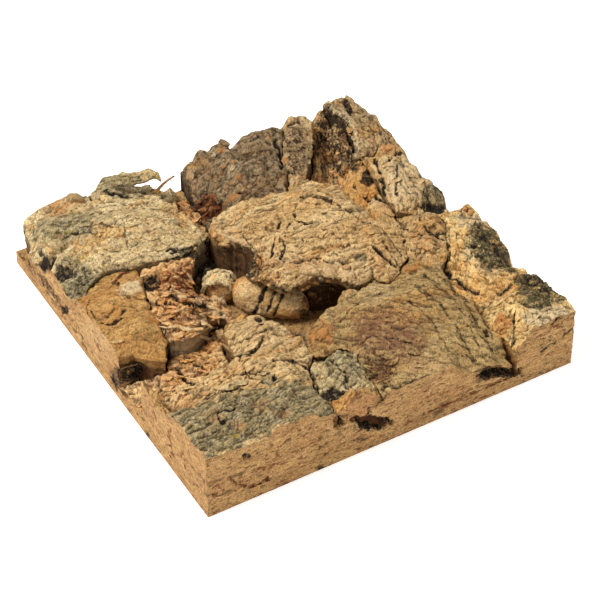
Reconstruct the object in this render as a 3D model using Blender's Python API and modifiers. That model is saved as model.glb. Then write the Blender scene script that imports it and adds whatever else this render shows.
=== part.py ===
"""Cork bark slab: a square decorative tile of virgin cork bark.

Pieces of bark of different trees stand side by side on a thin pressed-cork board. They are glued to it
and to each other, and the whole block is sawn square, so the four sides are flat and the top is raw bark.

Frame: origin at the middle of the underside, +Z up, the four sawn sides along X and Y.
Lengths in the tables are millimetres, and MM turns them into Blender's metres.
"""

import math

import bmesh
import bpy
import numpy as np
from mathutils import Matrix, Vector

# Driving dimensions, in millimetres
MM = 0.001
TILE = 300.0  # side of the sawn square
BOARD = 11.0  # thickness of the pressed-cork board
GLUE = 0.3  # glue film under every bark piece
JOINT = 0.4  # joint left between neighbouring bark pieces
CELL = 6.0  # spacing of the points that carry the bark relief
TALLER = 90.0  # higher than any bark piece
ROLL_WIDTH = 7.0  # natural edges round over within this distance
ROLL_DROP = 3.0  # and fall by this much
SPOT_SOFTNESS = 5.0  # how gently the surface passes a spot height

HALF = TILE / 2
SEAT = BOARD + GLUE

# Colours of the cork, linear
PRESSED = (0.42, 0.23, 0.10)
TAN = (0.50, 0.32, 0.15)
ORANGE = (0.56, 0.29, 0.10)
RUST = (0.26, 0.10, 0.035)
GREY = (0.24, 0.20, 0.13)
DARK = (0.09, 0.065, 0.04)
OLIVE = (0.38, 0.25, 0.11)

# Every standing bark piece. outline: corners seen from above, which neighbours share.
# spots: x, y and height of the bark surface. grain: the way the fibres run, in degrees from +X.
BARK = {
    "grey_plate": dict(
        colour=GREY, grain=-10, relief=1.6,
        outline=[(-150, 34), (-131, 55), (-114, 60), (-95, 57), (-73, 50), (-48, 48), (-34, 62), (-34, 80),
                 (-44, 108), (-46, 118), (-60, 118), (-84, 126), (-88, 150), (-138, 150), (-150, 131)],
        spots=[(-150, 36, 48), (-150, 60, 47), (-150, 84, 47), (-150, 100, 32), (-150, 130, 24),
               (-138, 149, 36), (-120, 149, 45), (-104, 150, 46), (-90, 148, 40), (-84, 128, 50),
               (-60, 118, 50), (-46, 112, 47), (-34, 82, 45), (-35, 63, 47), (-50, 50, 47), (-73, 52, 49),
               (-95, 59, 50), (-131, 57, 49), (-85, 92, 57), (-110, 104, 56), (-62, 80, 54),
               (-120, 76, 54), (-130, 125, 49)]),
    "curled_peel": dict(
        colour=GREY, grain=5, relief=1.0,
        outline=[(-88, 150), (-84, 126), (-60, 118), (-46, 118), (-36, 126), (-34, 140), (-38, 150)],
        spots=[(-87, 149, 43), (-86, 128, 50), (-75, 138, 54), (-60, 140, 56), (-60, 122, 54),
               (-45, 137, 55), (-36, 137, 53), (-48, 120, 51), (-60, 150, 46), (-40, 150, 46)]),
    "low_back_piece": dict(
        colour=RUST, grain=60, relief=1.5,
        outline=[(-38, 150), (-34, 140), (-36, 126), (-46, 118), (-44, 108), (-34, 80), (-34, 62), (-31, 66),
                 (-23, 75), (-20, 90), (-15, 113), (-15, 127), (-18, 150)],
        spots=[(-36, 148, 24), (-20, 148, 15), (-30, 125, 22), (-25, 100, 22), (-30, 85, 28),
               (-30, 70, 34)]),
    "dark_back_chunk": dict(
        colour=DARK, grain=20, relief=3.0,
        outline=[(-5, 150), (-13, 131), (-15, 113), (-20, 90), (-23, 75), (-4, 73), (9, 73), (22, 69),
                 (36, 66), (44, 73), (49, 81), (52, 102), (62, 114), (72, 128), (78, 143), (80, 150)],
        spots=[(-4, 150, 30), (13, 150, 42), (26, 150, 44), (39, 150, 34), (58, 150, 40), (78, 150, 35),
               (-12, 130, 36),
               (-15, 113, 30), (-19, 90, 28), (-20, 76, 33), (-12, 90, 27), (-8, 136, 46), (5, 142, 50),
               (15, 125, 57), (40, 130, 57), (60, 130, 52), (72, 137, 45), (30, 100, 58), (44, 95, 51),
               (46, 78, 46), (36, 69, 46), (10, 76, 45), (0, 100, 50), (20, 85, 52)]),
    "upright_flake": dict(
        colour=OLIVE, grain=60, relief=1.5,
        outline=[(80, 150), (78, 143), (72, 128), (62, 114), (52, 102), (49, 81), (44, 73), (57, 73),
                 (66, 83), (80, 101), (90, 114), (99, 134), (101, 150)],
        spots=[(80, 150, 34), (88, 150, 43), (100, 150, 38), (85, 142, 50), (95, 136, 49), (75, 122, 55),
               (86, 118, 50), (62, 105, 53), (72, 98, 50), (55, 90, 50), (60, 84, 47), (48, 75, 46)]),
    "hollow_trough": dict(
        colour=RUST, grain=70, relief=1.2,
        outline=[(101, 150), (99, 134), (90, 114), (80, 101), (66, 83), (57, 73), (60, 65), (70, 60),
                 (76, 56), (88, 68), (103, 82), (113, 95), (118, 110), (119, 133), (117, 150)],
        spots=[(102, 150, 34), (115, 150, 42), (108, 148, 29), (98, 134, 38), (107, 130, 25),
               (117, 125, 43), (88, 113, 35), (100, 108, 22), (115, 105, 41), (76, 96, 32), (85, 85, 20),
               (97, 86, 28), (66, 81, 32), (73, 72, 20), (86, 70, 26), (60, 68, 30), (106, 88, 37)]),
    "back_corner_chunk": dict(
        colour=GREY, grain=65, relief=2.4,
        outline=[(117, 150), (119, 133), (118, 110), (113, 95), (103, 82), (112, 83), (120, 80), (136, 87),
                 (150, 88), (150, 150)],
        spots=[(119, 150, 45), (139, 150, 43), (150, 149, 32), (150, 134, 35), (150, 112, 37), (150, 90, 35),
               (133, 140, 52), (139, 120, 48), (136, 100, 47), (122, 122, 52), (119, 102, 48), (110, 86, 44),
               (132, 90, 44)]),
    "right_back_chunk": dict(
        colour=TAN, grain=75, relief=2.4,
        outline=[(112, 83), (120, 80), (136, 87), (150, 88), (150, -5), (139, -7), (128, -6), (120, 2),
                 (108, 5), (100, 8), (101, 26), (104, 41), (110, 64)],
        spots=[(150, 87, 34), (150, 70, 28), (150, 55, 26), (150, 40, 30), (150, 28, 33), (150, 13, 17),
               (150, -3, 18), (140, 83, 42), (143, 70, 40), (139, 52, 44), (138, 30, 47), (137, 12, 40),
               (130, 0, 43), (110, 7, 46),
               (103, 30, 46), (111, 62, 45), (122, 79, 44), (120, 40, 54), (124, 60, 52),
               (119, 20, 52)]),
    "upper_wedge_flake": dict(
        colour=ORANGE, grain=50, relief=1.6,
        outline=[(76, 56), (88, 68), (103, 82), (112, 83), (110, 64), (104, 41), (88, 36), (74, 40)],
        spots=[(78, 54, 40), (90, 69, 40), (106, 81, 42), (109, 64, 43), (102, 43, 42), (88, 38, 36),
               (95, 58, 46)]),
    "lower_wedge_flake": dict(
        colour=TAN, grain=70, relief=1.6,
        outline=[(74, 40), (88, 36), (104, 41), (101, 26), (100, 8), (98, -6), (88, -12), (82, 2), (79, 12),
                 (76, 22)],
        spots=[(78, 38, 38), (100, 38, 42), (99, 10, 42), (90, -8, 40), (83, 6, 38), (80, 20, 38),
               (92, 22, 47)]),
    "centre_chunk": dict(
        colour=TAN, grain=-12, relief=2.2,
        outline=[(-34, 53), (-34, 62), (-31, 66), (-23, 75), (-4, 73), (9, 73), (22, 69), (36, 66), (44, 73),
                 (57, 73), (60, 65), (70, 60), (76, 56), (74, 40), (76, 22), (79, 12), (82, 2), (88, -12),
                 (86, -22), (80, -34), (73, -42), (63, -50), (55, -52), (48, -48), (45, -42), (38, -47),
                 (30, -48), (26, -42), (20, -33), (8, -26), (-14, -28), (-22, -20), (-34, -2), (-33, 4),
                 (-18, 14), (-19, 24), (-25, 38)],
        spots=[(-33, 55, 50), (-26, 70, 46), (-5, 72, 53), (20, 68, 55), (50, 71, 52), (60, 64, 55),
               (75, 54, 53), (75, 30, 54), (81, 8, 53), (87, -12, 51), (80, -32, 51), (62, -49, 49),
               (52, -49, 50), (45, -40, 55), (32, -47, 51), (22, -36, 53), (0, -27, 55), (-20, -22, 55),
               (-33, 0, 52), (-18, 16, 55), (-25, 36, 53), (0, 45, 60), (10, 10, 62), (40, 40, 64),
               (40, 5, 65), (60, 20, 63), (60, -20, 62), (25, -15, 61), (-10, -8, 60)]),
    "round_chunk": dict(
        colour=TAN, grain=30, relief=1.4,
        outline=[(88, -12), (98, -6), (100, 8), (108, 5), (120, 2), (128, -6), (126, -19), (114, -34),
                 (107, -46), (98, -59), (94, -51), (88, -43), (80, -39), (73, -42), (80, -34), (86, -22)],
        spots=[(91, -12, 47), (100, 4, 44), (112, 2, 46), (126, -5, 45), (125, -18, 46), (113, -34, 45),
               (100, -55, 42), (90, -45, 45), (82, -37, 47), (87, -24, 49), (106, -14, 54), (98, -34, 53),
               (114, -12, 53)]),
    "mossy_chunk": dict(
        colour=ORANGE, grain=-50, relief=2.4,
        outline=[(128, -6), (139, -7), (150, -5), (150, -90), (141, -89), (125, -94), (112, -99), (99, -99),
                 (102, -92), (97, -85), (96, -68), (98, -59), (107, -46), (114, -34), (126, -19)],
        spots=[(150, -10, 46), (150, -25, 48), (150, -44, 50), (150, -55, 43), (150, -74, 33),
               (150, -88, 40), (130, -10, 46), (141, -9, 47), (138, -38, 52), (143, -58, 49),
               (131, -60, 48), (121, -75, 40), (104, -60, 36), (101, -78, 34), (100, -96, 31),
               (113, -96, 32), (126, -91, 38), (140, -84, 44), (114, -42, 42), (125, -24, 46)]),
    "right_front_chunk": dict(
        colour=ORANGE, grain=-60, relief=1.6,
        outline=[(99, -99), (112, -99), (125, -94), (141, -89), (150, -90), (150, -150), (105, -150),
                 (100, -138), (97, -126), (96, -112)],
        spots=[(150, -92, 42), (150, -100, 46), (150, -118, 49), (150, -136, 53), (150, -149, 52),
               (112, -150, 53), (106, -149, 42), (130, -148, 54), (144, -130, 50), (130, -125, 52),
               (121, -110, 49), (140, -96, 44), (113, -102, 38), (100, -104, 31), (100, -124, 33),
               (108, -134, 43), (103, -145, 35)]),
    "big_brown_chunk": dict(
        colour=OLIVE, grain=-40, relief=1.6,
        outline=[(26, -42), (30, -48), (38, -47), (45, -42), (48, -48), (55, -52), (63, -50), (73, -42),
                 (80, -39), (88, -43), (94, -51), (98, -59), (96, -68), (97, -85), (102, -92), (99, -99),
                 (96, -112), (97, -126), (98, -138), (96, -150), (-10, -150), (-11, -145), (-8, -125),
                 (-7, -112), (-2, -103), (-6, -93), (-12, -90), (-24, -91), (-30, -86), (-29, -73),
                 (-24, -65), (-16, -59), (-7, -56), (10, -51), (20, -44)],
        spots=[(-9, -150, 49), (10, -150, 48.6), (27, -150, 48.6), (68, -150, 34), (94, -150, 28),
               (97, -126, 37), (95, -110, 42), (98, -95, 42), (96, -80, 43), (96, -62, 44), (88, -46, 46),
               (73, -44, 47), (50, -50, 48), (25, -46, 47), (2, -54, 46), (-18, -62, 44), (-28, -78, 42),
               (-20, -89, 42), (-4, -96, 44), (-6, -115, 46), (-9, -135, 48), (-12, -74, 49),
               (18, -75, 54), (45, -88, 56), (70, -80, 54), (30, -112, 54), (58, -118, 50),
               (80, -130, 42), (5, -105, 50), (80, -105, 49), (40, -135, 50)]),
    "grey_knob": dict(
        colour=DARK, grain=0, relief=1.6,
        outline=[(-30, -86), (-24, -91), (-12, -90), (-6, -93), (-2, -103), (-7, -112), (-8, -125),
                 (-11, -145), (-25, -140), (-40, -139), (-48, -137), (-49, -130), (-47, -121), (-43, -109),
                 (-39, -97)],
        spots=[(-29, -90, 42), (-10, -93, 44), (-4, -103, 44), (-9, -125, 46), (-12, -142, 48),
               (-30, -138, 50), (-46, -134, 48), (-45, -118, 46), (-38, -100, 44), (-24, -108, 54),
               (-22, -125, 55)]),
    "front_wedge": dict(
        colour=ORANGE, grain=50, relief=0.8,
        outline=[(-48, -137), (-40, -139), (-25, -140), (-11, -145), (-10, -150), (-47, -150)],
        spots=[(-46, -149, 52), (-32, -149, 61), (-12, -149, 50), (-42, -140, 52), (-25, -141, 57),
               (-12, -146, 50)]),
    "front_left_chunk": dict(
        colour=TAN, grain=10, relief=2.0,
        outline=[(-150, -96), (-142, -90), (-135, -93), (-123, -90), (-113, -77), (-100, -64), (-91, -65),
                 (-82, -63), (-78, -58), (-75, -41), (-69, -29), (-62, -27), (-50, -28), (-42, -34),
                 (-36, -42), (-31, -52), (-29, -63), (-29, -73), (-30, -86), (-39, -97), (-43, -109),
                 (-47, -121), (-49, -130), (-48, -137), (-47, -150), (-150, -150)],
        spots=[(-150, -98, 54), (-150, -120, 58), (-150, -150, 59), (-132, -150, 56), (-118, -150, 56),
               (-105, -150, 55), (-93, -150, 57.5), (-68, -150, 56), (-58, -150, 53), (-48, -149, 52),
               (-47, -125, 50), (-40, -100, 48), (-31, -78, 46), (-31, -55, 46), (-45, -33, 46),
               (-68, -31, 46), (-76, -50, 46), (-90, -66, 47), (-112, -78, 48), (-124, -91, 50),
               (-140, -92, 51), (-58, -58, 56), (-75, -85, 58), (-60, -105, 56), (-100, -100, 56),
               (-120, -115, 57), (-90, -125, 57), (-130, -135, 57)]),
    "amber_plate": dict(
        colour=TAN, grain=-35, relief=1.2,
        outline=[(-150, 34), (-131, 55), (-114, 60), (-95, 57), (-98, 40), (-106, 22), (-107, 0),
                 (-109, -19), (-121, -37), (-129, -32), (-140, -22), (-150, -20)],
        spots=[(-150, 30, 48), (-150, -11, 48), (-131, 53, 45), (-114, 58, 45), (-97, 55, 45),
               (-99, 38, 47), (-107, 20, 47), (-108, -4, 46), (-110, -21, 42), (-121, -35, 40),
               (-131, -30, 42), (-148, -19, 46), (-130, 20, 52), (-125, -2, 52), (-118, 40, 50)]),
    "rust_chunk": dict(
        colour=RUST, grain=-15, relief=2.6,
        outline=[(-95, 57), (-73, 50), (-48, 48), (-57, 41), (-66, 26), (-67, 12), (-57, 5), (-51, -13),
                 (-50, -28), (-62, -27), (-63, -14), (-73, -12), (-85, -22), (-96, -26), (-109, -19),
                 (-107, 0), (-106, 22), (-98, 40)],
        spots=[(-92, 54, 43), (-73, 48, 44), (-50, 46, 42), (-58, 38, 42), (-67, 20, 41), (-59, 4, 40),
               (-52, -14, 38), (-56, -26, 37), (-72, -13, 40), (-90, -24, 42), (-107, -18, 43),
               (-106, 2, 47), (-105, 22, 47), (-97, 40, 45), (-84, 25, 52), (-86, 0, 50), (-73, 32, 49)]),
    "left_hollow_piece": dict(
        colour=RUST, grain=-20, relief=2.4,
        outline=[(-150, -20), (-140, -22), (-129, -32), (-121, -37), (-109, -19), (-96, -26), (-85, -22),
                 (-73, -12), (-63, -14), (-62, -27), (-69, -29), (-75, -41), (-78, -58), (-82, -63),
                 (-91, -65), (-100, -64), (-113, -77), (-123, -90), (-135, -93), (-142, -90), (-141, -70),
                 (-144, -56), (-150, -52)],
        spots=[(-150, -25, 17), (-150, -48, 18), (-140, -40, 20), (-130, -50, 24), (-120, -45, 28),
               (-104, -48, 33), (-100, -34, 26), (-85, -35, 25), (-80, -50, 28), (-93, -58, 33),
               (-68, -22, 27), (-120, -70, 34), (-135, -82, 31), (-140, -62, 24)]),
    "left_edge_piece": dict(
        colour=ORANGE, grain=80, relief=1.4,
        outline=[(-150, -52), (-144, -56), (-141, -70), (-142, -90), (-150, -96)],
        spots=[(-150, -55, 54), (-150, -92, 52), (-144, -60, 48), (-142, -76, 44), (-143, -88, 46)]),
    "inner_floor_piece": dict(
        colour=RUST, grain=0, relief=1.2,
        outline=[(-48, 48), (-34, 62), (-34, 53), (-25, 38), (-19, 24), (-18, 14), (-24, 12), (-32, 20),
                 (-46, 19), (-57, 5), (-67, 12), (-66, 26), (-57, 41)],
        spots=[(-48, 46, 24), (-35, 58, 24), (-26, 38, 20), (-20, 16, 16), (-40, 22, 17), (-57, 8, 20),
               (-62, 22, 22)]),
    "inner_front_piece": dict(
        colour=RUST, grain=-30, relief=1.0,
        outline=[(-50, -28), (-51, -13), (-50, -8), (-12, -38), (2, -44), (10, -51), (-7, -56), (-16, -59),
                 (-24, -65), (-29, -73), (-29, -63), (-31, -52), (-36, -42), (-42, -34)],
        spots=[(-50, -20, 24), (-40, -25, 20), (-25, -45, 15), (-10, -50, 16), (4, -49, 18),
               (-27, -62, 16)]),
}

# Hollows that decay or a fold of the bark left: the piece, the hollow's middle, its three radii and turn.
HOLLOWS = [
    ("curled_peel", (-44, 146, 28), (15, 26, 18), 0),
    ("centre_chunk", (-17, -9, 18), (33, 16, 19), -42),
    ("centre_chunk", (8, -34, 18), (22, 15, 19), -10),
    ("front_wedge", (-18, -150, 18), (20, 24, 13), 0),
    ("grey_knob", (-18, -150, 18), (20, 24, 13), 0),
    ("big_brown_chunk", (-18, -150, 18), (20, 24, 13), 0),
    ("big_brown_chunk", (90, -152, 20), (22, 16, 11), 0),
    ("right_front_chunk", (104, -152, 20), (6, 14, 9), 0),
    ("amber_plate", (-142, -32, 22), (14, 18, 17), 0),
]

# The log lies in the middle hollow: its middle, its half length, its radius and the way it points.
LOG_MIDDLE = (-17.0, -10.0, 20.0)
LOG_HALF_LENGTH = 27.0
LOG_RADIUS = 10.5
LOG_TURN = -42.0

# The arched flake beside the log: the middle of its arc, its radii, length and turn.
ARCH_MIDDLE = (-44.0, 24.0, 24.0)
ARCH_OUTER = 13.5
ARCH_WALL = 4.5
ARCH_LENGTH = 15.0
ARCH_TURN = 35.0

# The dry twig caught under the peel, from its foot to its tip.
TWIG_ROUTE = [(-46.9, 116.9, 50.1), (-42.0, 116.0, 55.0), (-38.0, 115.0, 58.5), (-33.0, 112.5, 63.0)]
TWIG_RADIUS = 1.2


def lattice(column, row, seed):
    """A fixed pseudo-random value from 0 to 1 for each whole-numbered lattice point."""
    mixed = (column * 374761393 + row * 668265263 + seed * 1442695041) & 0xFFFFFFFF
    mixed = ((mixed ^ (mixed >> 13)) * 1274126177) & 0xFFFFFFFF
    return ((mixed ^ (mixed >> 16)) & 0xFFFF) / 65535.0


def lumps(x, y, size, seed):
    """Smooth bumps from -1 to 1, about one for each size millimetres."""
    column, row = np.floor(x / size).astype(np.int64), np.floor(y / size).astype(np.int64)
    u, v = x / size - column, y / size - row
    u, v = u * u * (3 - 2 * u), v * v * (3 - 2 * v)
    low = lattice(column, row, seed) * (1 - u) + lattice(column + 1, row, seed) * u
    high = lattice(column, row + 1, seed) * (1 - u) + lattice(column + 1, row + 1, seed) * u
    return 2 * (low * (1 - v) + high * v) - 1


def spot_surface(x, y, spots):
    """Height at each point as the mean of the spot heights, each weighted by how near it is."""
    spots = np.array(spots, float)
    away = (x[:, None] - spots[:, 0]) ** 2 + (y[:, None] - spots[:, 1]) ** 2
    weight = 1 / (away + SPOT_SOFTNESS**2) ** 2
    return (weight * spots[:, 2]).sum(axis=1) / weight.sum(axis=1)


def natural_distance(x, y, outline):
    """Distance from each point to the nearest stretch of the outline that the saw didn't make."""
    points = np.array(outline, float)
    nearest = np.full(len(x), TILE)
    for start, end in zip(points, np.roll(points, -1, axis=0)):
        on_saw_line = (np.abs(start) == HALF) & (np.abs(end) == HALF) & (start == end)
        if on_saw_line.any():
            continue
        along = end - start
        share = ((x - start[0]) * along[0] + (y - start[1]) * along[1]) / (along @ along)
        share = np.clip(share, 0, 1)
        gap = np.hypot(x - start[0] - share * along[0], y - start[1] - share * along[1])
        nearest = np.minimum(nearest, gap)
    return nearest


def bark_height(x, y, piece, seed):
    """Spot surface, rounded over at the natural edges, with lumps drawn out along the grain."""
    turn = math.radians(piece["grain"])
    along = x * math.cos(turn) + y * math.sin(turn)
    across = y * math.cos(turn) - x * math.sin(turn)
    inside = np.clip(natural_distance(x, y, piece["outline"]) / ROLL_WIDTH, 0, 1)
    rounding = ROLL_DROP * (1 - inside) ** 2
    relief = 0.7 * lumps(along / 2, across, 14, seed) + 0.3 * lumps(along / 2, across, 7, seed + 1)
    return spot_surface(x, y, piece["spots"]) - rounding + piece["relief"] * relief


def inset(outline, by):
    """The outline drawn in by a distance: each corner moves to where the two drawn-in sides meet."""
    points = np.array(outline, float)
    ahead = np.roll(points, -1, axis=0) - points
    ahead /= np.linalg.norm(ahead, axis=1)[:, None]
    behind = np.roll(ahead, 1, axis=0)
    area = np.cross(points, np.roll(points, -1, axis=0)).sum()
    inward = np.sign(area) * np.array([[0, 1], [-1, 0]])
    bisector = ahead @ inward + behind @ inward
    stretch = np.maximum((bisector**2).sum(axis=1) / 2, 0.5)
    moved = points + by * bisector / stretch[:, None]
    return np.where(np.abs(points) == HALF, points, moved)


def material(name, colour, roughness=0.9):
    made = bpy.data.materials.new(name)
    made.use_nodes = True
    shader = made.node_tree.nodes["Principled BSDF"]
    shader.inputs["Base Color"].default_value = (*colour, 1)
    shader.inputs["Roughness"].default_value = roughness
    shader.inputs["Metallic"].default_value = 0.0
    return made


def mesh_object(name, built, collection, finish=None):
    """A new object from a bmesh whose lengths are millimetres."""
    bmesh.ops.scale(built, vec=(MM, MM, MM), verts=built.verts)
    bmesh.ops.recalc_face_normals(built, faces=built.faces)
    mesh = bpy.data.meshes.new(name)
    built.to_mesh(mesh)
    built.free()
    made = bpy.data.objects.new(name, mesh)
    collection.objects.link(made)
    if finish:
        mesh.materials.append(finish)
    return made


def cutter_object(name, built, collection):
    made = mesh_object(name, built, collection)
    made.hide_render = True
    made.display_type = "WIRE"
    return made


def boolean(piece, operation, other):
    modifier = piece.modifiers.new(other.name, "BOOLEAN")
    modifier.operation = operation
    modifier.object = other
    modifier.solver = "EXACT"


def relief_block(piece, seed):
    """A block over the outline's bounding rectangle whose top is the bark surface."""
    points = np.array(piece["outline"], float)
    low, high = points.min(axis=0) - 1, points.max(axis=0) + 1
    cells = np.maximum(np.ceil((high - low) / CELL).astype(int), 1)
    built = bmesh.new()
    bmesh.ops.create_grid(built, x_segments=int(cells[0]), y_segments=int(cells[1]), size=0.5)
    plan = np.array([vertex.co[:2] for vertex in built.verts])
    plan = low + (plan + 0.5) * (high - low)
    heights = bark_height(plan[:, 0], plan[:, 1], piece, seed)
    for vertex, place, height in zip(built.verts, plan, heights):
        vertex.co = (place[0], place[1], max(height, SEAT + 2))
    lowered = bmesh.ops.extrude_face_region(built, geom=built.faces[:])
    for vertex in lowered["geom"]:
        if isinstance(vertex, bmesh.types.BMVert):
            vertex.co.z = SEAT
    return built


def outline_prism(outline, bottom):
    """The outline, drawn in by half a joint, as a prism taller than the bark."""
    built = bmesh.new()
    built.faces.new([built.verts.new((x, y, bottom)) for x, y in inset(outline, JOINT / 2)])
    raised = bmesh.ops.extrude_face_region(built, geom=built.faces[:])
    for vertex in raised["geom"]:
        if isinstance(vertex, bmesh.types.BMVert):
            vertex.co.z = TALLER
    return built


def ellipsoid(middle, radii, turn=0.0, rings=2):
    built = bmesh.new()
    bmesh.ops.create_icosphere(built, subdivisions=rings, radius=1.0)
    place = Matrix.Translation(middle) @ Matrix.Rotation(math.radians(turn), 4, "Z")
    bmesh.ops.transform(built, matrix=place @ Matrix.Diagonal((*radii, 1)), verts=built.verts)
    return built


def box(low, high):
    built = bmesh.new()
    bmesh.ops.create_cube(built, size=1.0)
    low, high = Vector(low), Vector(high)
    place = Matrix.Translation((low + high) / 2) @ Matrix.Diagonal((*(high - low), 1))
    bmesh.ops.transform(built, matrix=place, verts=built.verts)
    return built


def make_board(parts):
    """The pressed-cork board that carries every bark piece."""
    built = box((-HALF, -HALF, 0), (HALF, HALF, BOARD))
    return mesh_object("backing_board", built, parts, material("pressed_cork", PRESSED))


def make_bark(parts, cutters):
    """Each standing bark piece: a relief block trimmed to its outline, less its hollows."""
    for seed, (name, piece) in enumerate(BARK.items()):
        finish = material(name + "_bark", piece["colour"])
        made = mesh_object(name, relief_block(piece, 10 * seed), parts, finish)
        prism = cutter_object(name + "_outline", outline_prism(piece["outline"], BOARD), cutters)
        boolean(made, "INTERSECT", prism)
    for number, (name, middle, radii, turn) in enumerate(HOLLOWS):
        hollow = cutter_object(f"{name}_hollow_{number}", ellipsoid(middle, radii, turn), cutters)
        boolean(parts.objects[name], "DIFFERENCE", hollow)


def make_log(parts, cutters):
    """The round striped piece sunk in the middle hollow, flat where it is glued down."""
    radii = (LOG_HALF_LENGTH, LOG_RADIUS, LOG_RADIUS)
    built = ellipsoid(LOG_MIDDLE, radii, LOG_TURN, rings=3)
    made = mesh_object("striped_log", built, parts, material("striped_bark", TAN))
    under = box((-TILE, -TILE, 0), (TILE, TILE, SEAT))
    boolean(made, "DIFFERENCE", cutter_object("striped_log_seat", under, cutters))


def make_arch(parts, cutters):
    """The arched flake: an arc of bark drawn along a short straight line, then thickened."""
    built = bmesh.new()
    bmesh.ops.create_grid(built, x_segments=12, y_segments=2, size=0.5)
    for vertex in built.verts:
        angle = math.pi * (0.5 - vertex.co.x)
        vertex.co = (ARCH_OUTER * math.cos(angle), ARCH_LENGTH * vertex.co.y, ARCH_OUTER * math.sin(angle))
    place = Matrix.Translation(ARCH_MIDDLE) @ Matrix.Rotation(math.radians(-ARCH_TURN), 4, "Z")
    bmesh.ops.transform(built, matrix=place, verts=built.verts)
    made = mesh_object("arched_flake", built, parts, material("lichen_bark", GREY))
    shell = made.modifiers.new("wall", "SOLIDIFY")
    shell.thickness = ARCH_WALL * MM
    shell.offset = -1


def make_twig(parts):
    """The dry twig, a bent tube."""
    curve = bpy.data.curves.new("twig", "CURVE")
    curve.dimensions = "3D"
    curve.bevel_depth = TWIG_RADIUS * MM
    curve.bevel_resolution = 2
    curve.use_fill_caps = True
    spline = curve.splines.new("POLY")
    spline.points.add(len(TWIG_ROUTE) - 1)
    for point, place in zip(spline.points, TWIG_ROUTE):
        point.co = (*(MM * length for length in place), 1)
    curve.materials.append(material("twig_bark", GREY))
    parts.objects.link(bpy.data.objects.new("twig", curve))


def main():
    for old in list(bpy.data.objects):
        bpy.data.objects.remove(old)
    parts = bpy.data.collections.new("cork_bark_slab")
    cutters = bpy.data.collections.new("cutters")
    bpy.context.scene.collection.children.link(parts)
    bpy.context.scene.collection.children.link(cutters)
    make_board(parts)
    make_bark(parts, cutters)
    make_log(parts, cutters)
    make_arch(parts, cutters)
    make_twig(parts)


main()
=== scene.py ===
# %% [markdown]
# A cork bark slab. The real thing is a tile of about 300 mm: raw pieces of bark, some of them decades
# old, are glued side by side on a thin board of pressed cork, and the block is then sawn square.
# So it has two kinds of surface. The top is wild: crusts with lichen, cracked plates, torn fibres.
# The four sides are tame: one flat saw cut through everything.
#
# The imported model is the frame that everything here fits. It holds the board and 27 pieces of bark
# as coarse solids, and each is replaced by a finely worked surface in the same place.

import math

import bmesh
import bpy
import numpy as np
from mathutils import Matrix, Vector


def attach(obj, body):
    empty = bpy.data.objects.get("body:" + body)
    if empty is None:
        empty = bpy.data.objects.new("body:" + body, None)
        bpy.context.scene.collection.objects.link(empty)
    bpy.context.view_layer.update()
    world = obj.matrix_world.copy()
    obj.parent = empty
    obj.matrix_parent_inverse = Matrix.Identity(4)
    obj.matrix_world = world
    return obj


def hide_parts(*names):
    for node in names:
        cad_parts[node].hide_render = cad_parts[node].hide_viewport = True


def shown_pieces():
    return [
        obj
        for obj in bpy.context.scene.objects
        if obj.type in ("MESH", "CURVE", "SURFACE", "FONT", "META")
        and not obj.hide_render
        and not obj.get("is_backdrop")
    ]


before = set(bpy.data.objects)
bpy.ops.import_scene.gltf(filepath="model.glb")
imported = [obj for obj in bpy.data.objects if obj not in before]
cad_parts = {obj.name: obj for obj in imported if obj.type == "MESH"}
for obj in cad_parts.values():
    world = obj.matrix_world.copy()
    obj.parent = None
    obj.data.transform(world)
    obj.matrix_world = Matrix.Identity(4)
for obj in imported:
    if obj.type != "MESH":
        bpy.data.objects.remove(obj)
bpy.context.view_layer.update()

# %% [markdown]
# The camera comes first, because marks on the bark are placed by where the photograph shows them.
# The slab is seen from a corner, 43 degrees above the table. The lens is long, as in product
# photographs, so the far edge is hardly smaller than the near one.

# %% Camera
FRAME_SIDE = 600  # pixels of the photograph
FOCAL_PIXELS = 2600.0
SENSOR = 36.0
AZIMUTH, ELEVATION = math.radians(-30.24), math.radians(43.03)
LOOK_AT = Vector((0.0138, 0.0064, 0))
DISTANCE = 1.933

BACK = Vector((math.sin(AZIMUTH) * math.cos(ELEVATION), -math.cos(AZIMUTH) * math.cos(ELEVATION),
               math.sin(ELEVATION)))
RIGHT = Vector((math.cos(AZIMUTH), math.sin(AZIMUTH), 0))
UP = BACK.cross(RIGHT)
EYE = LOOK_AT + DISTANCE * BACK

camera = bpy.data.objects.new("camera", bpy.data.cameras.new("camera"))
bpy.context.scene.collection.objects.link(camera)
camera.data.lens = FOCAL_PIXELS / FRAME_SIDE * SENSOR
camera.data.sensor_width = SENSOR
camera.location = EYE
camera.rotation_euler = BACK.to_track_quat("Z", "Y").to_euler()
bpy.context.scene.camera = camera
print(f"lens {camera.data.lens:.0f} mm")


def seen_at(places):
    """Where the photograph shows places given in millimetres: offsets along the picture's sides,
    divided by the depth and multiplied by the focal length."""
    away = places / 1000 - np.array(EYE)
    depth = -(away @ np.array(BACK))
    u = FRAME_SIDE / 2 + FOCAL_PIXELS * (away @ np.array(RIGHT)) / depth
    v = FRAME_SIDE / 2 - FOCAL_PIXELS * (away @ np.array(UP)) / depth
    return u, v

# %% [markdown]
# A white table and soft light. The photograph has no hard shadows: one wide lamp stands high on the
# left and the white surroundings fill in the rest.

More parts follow.
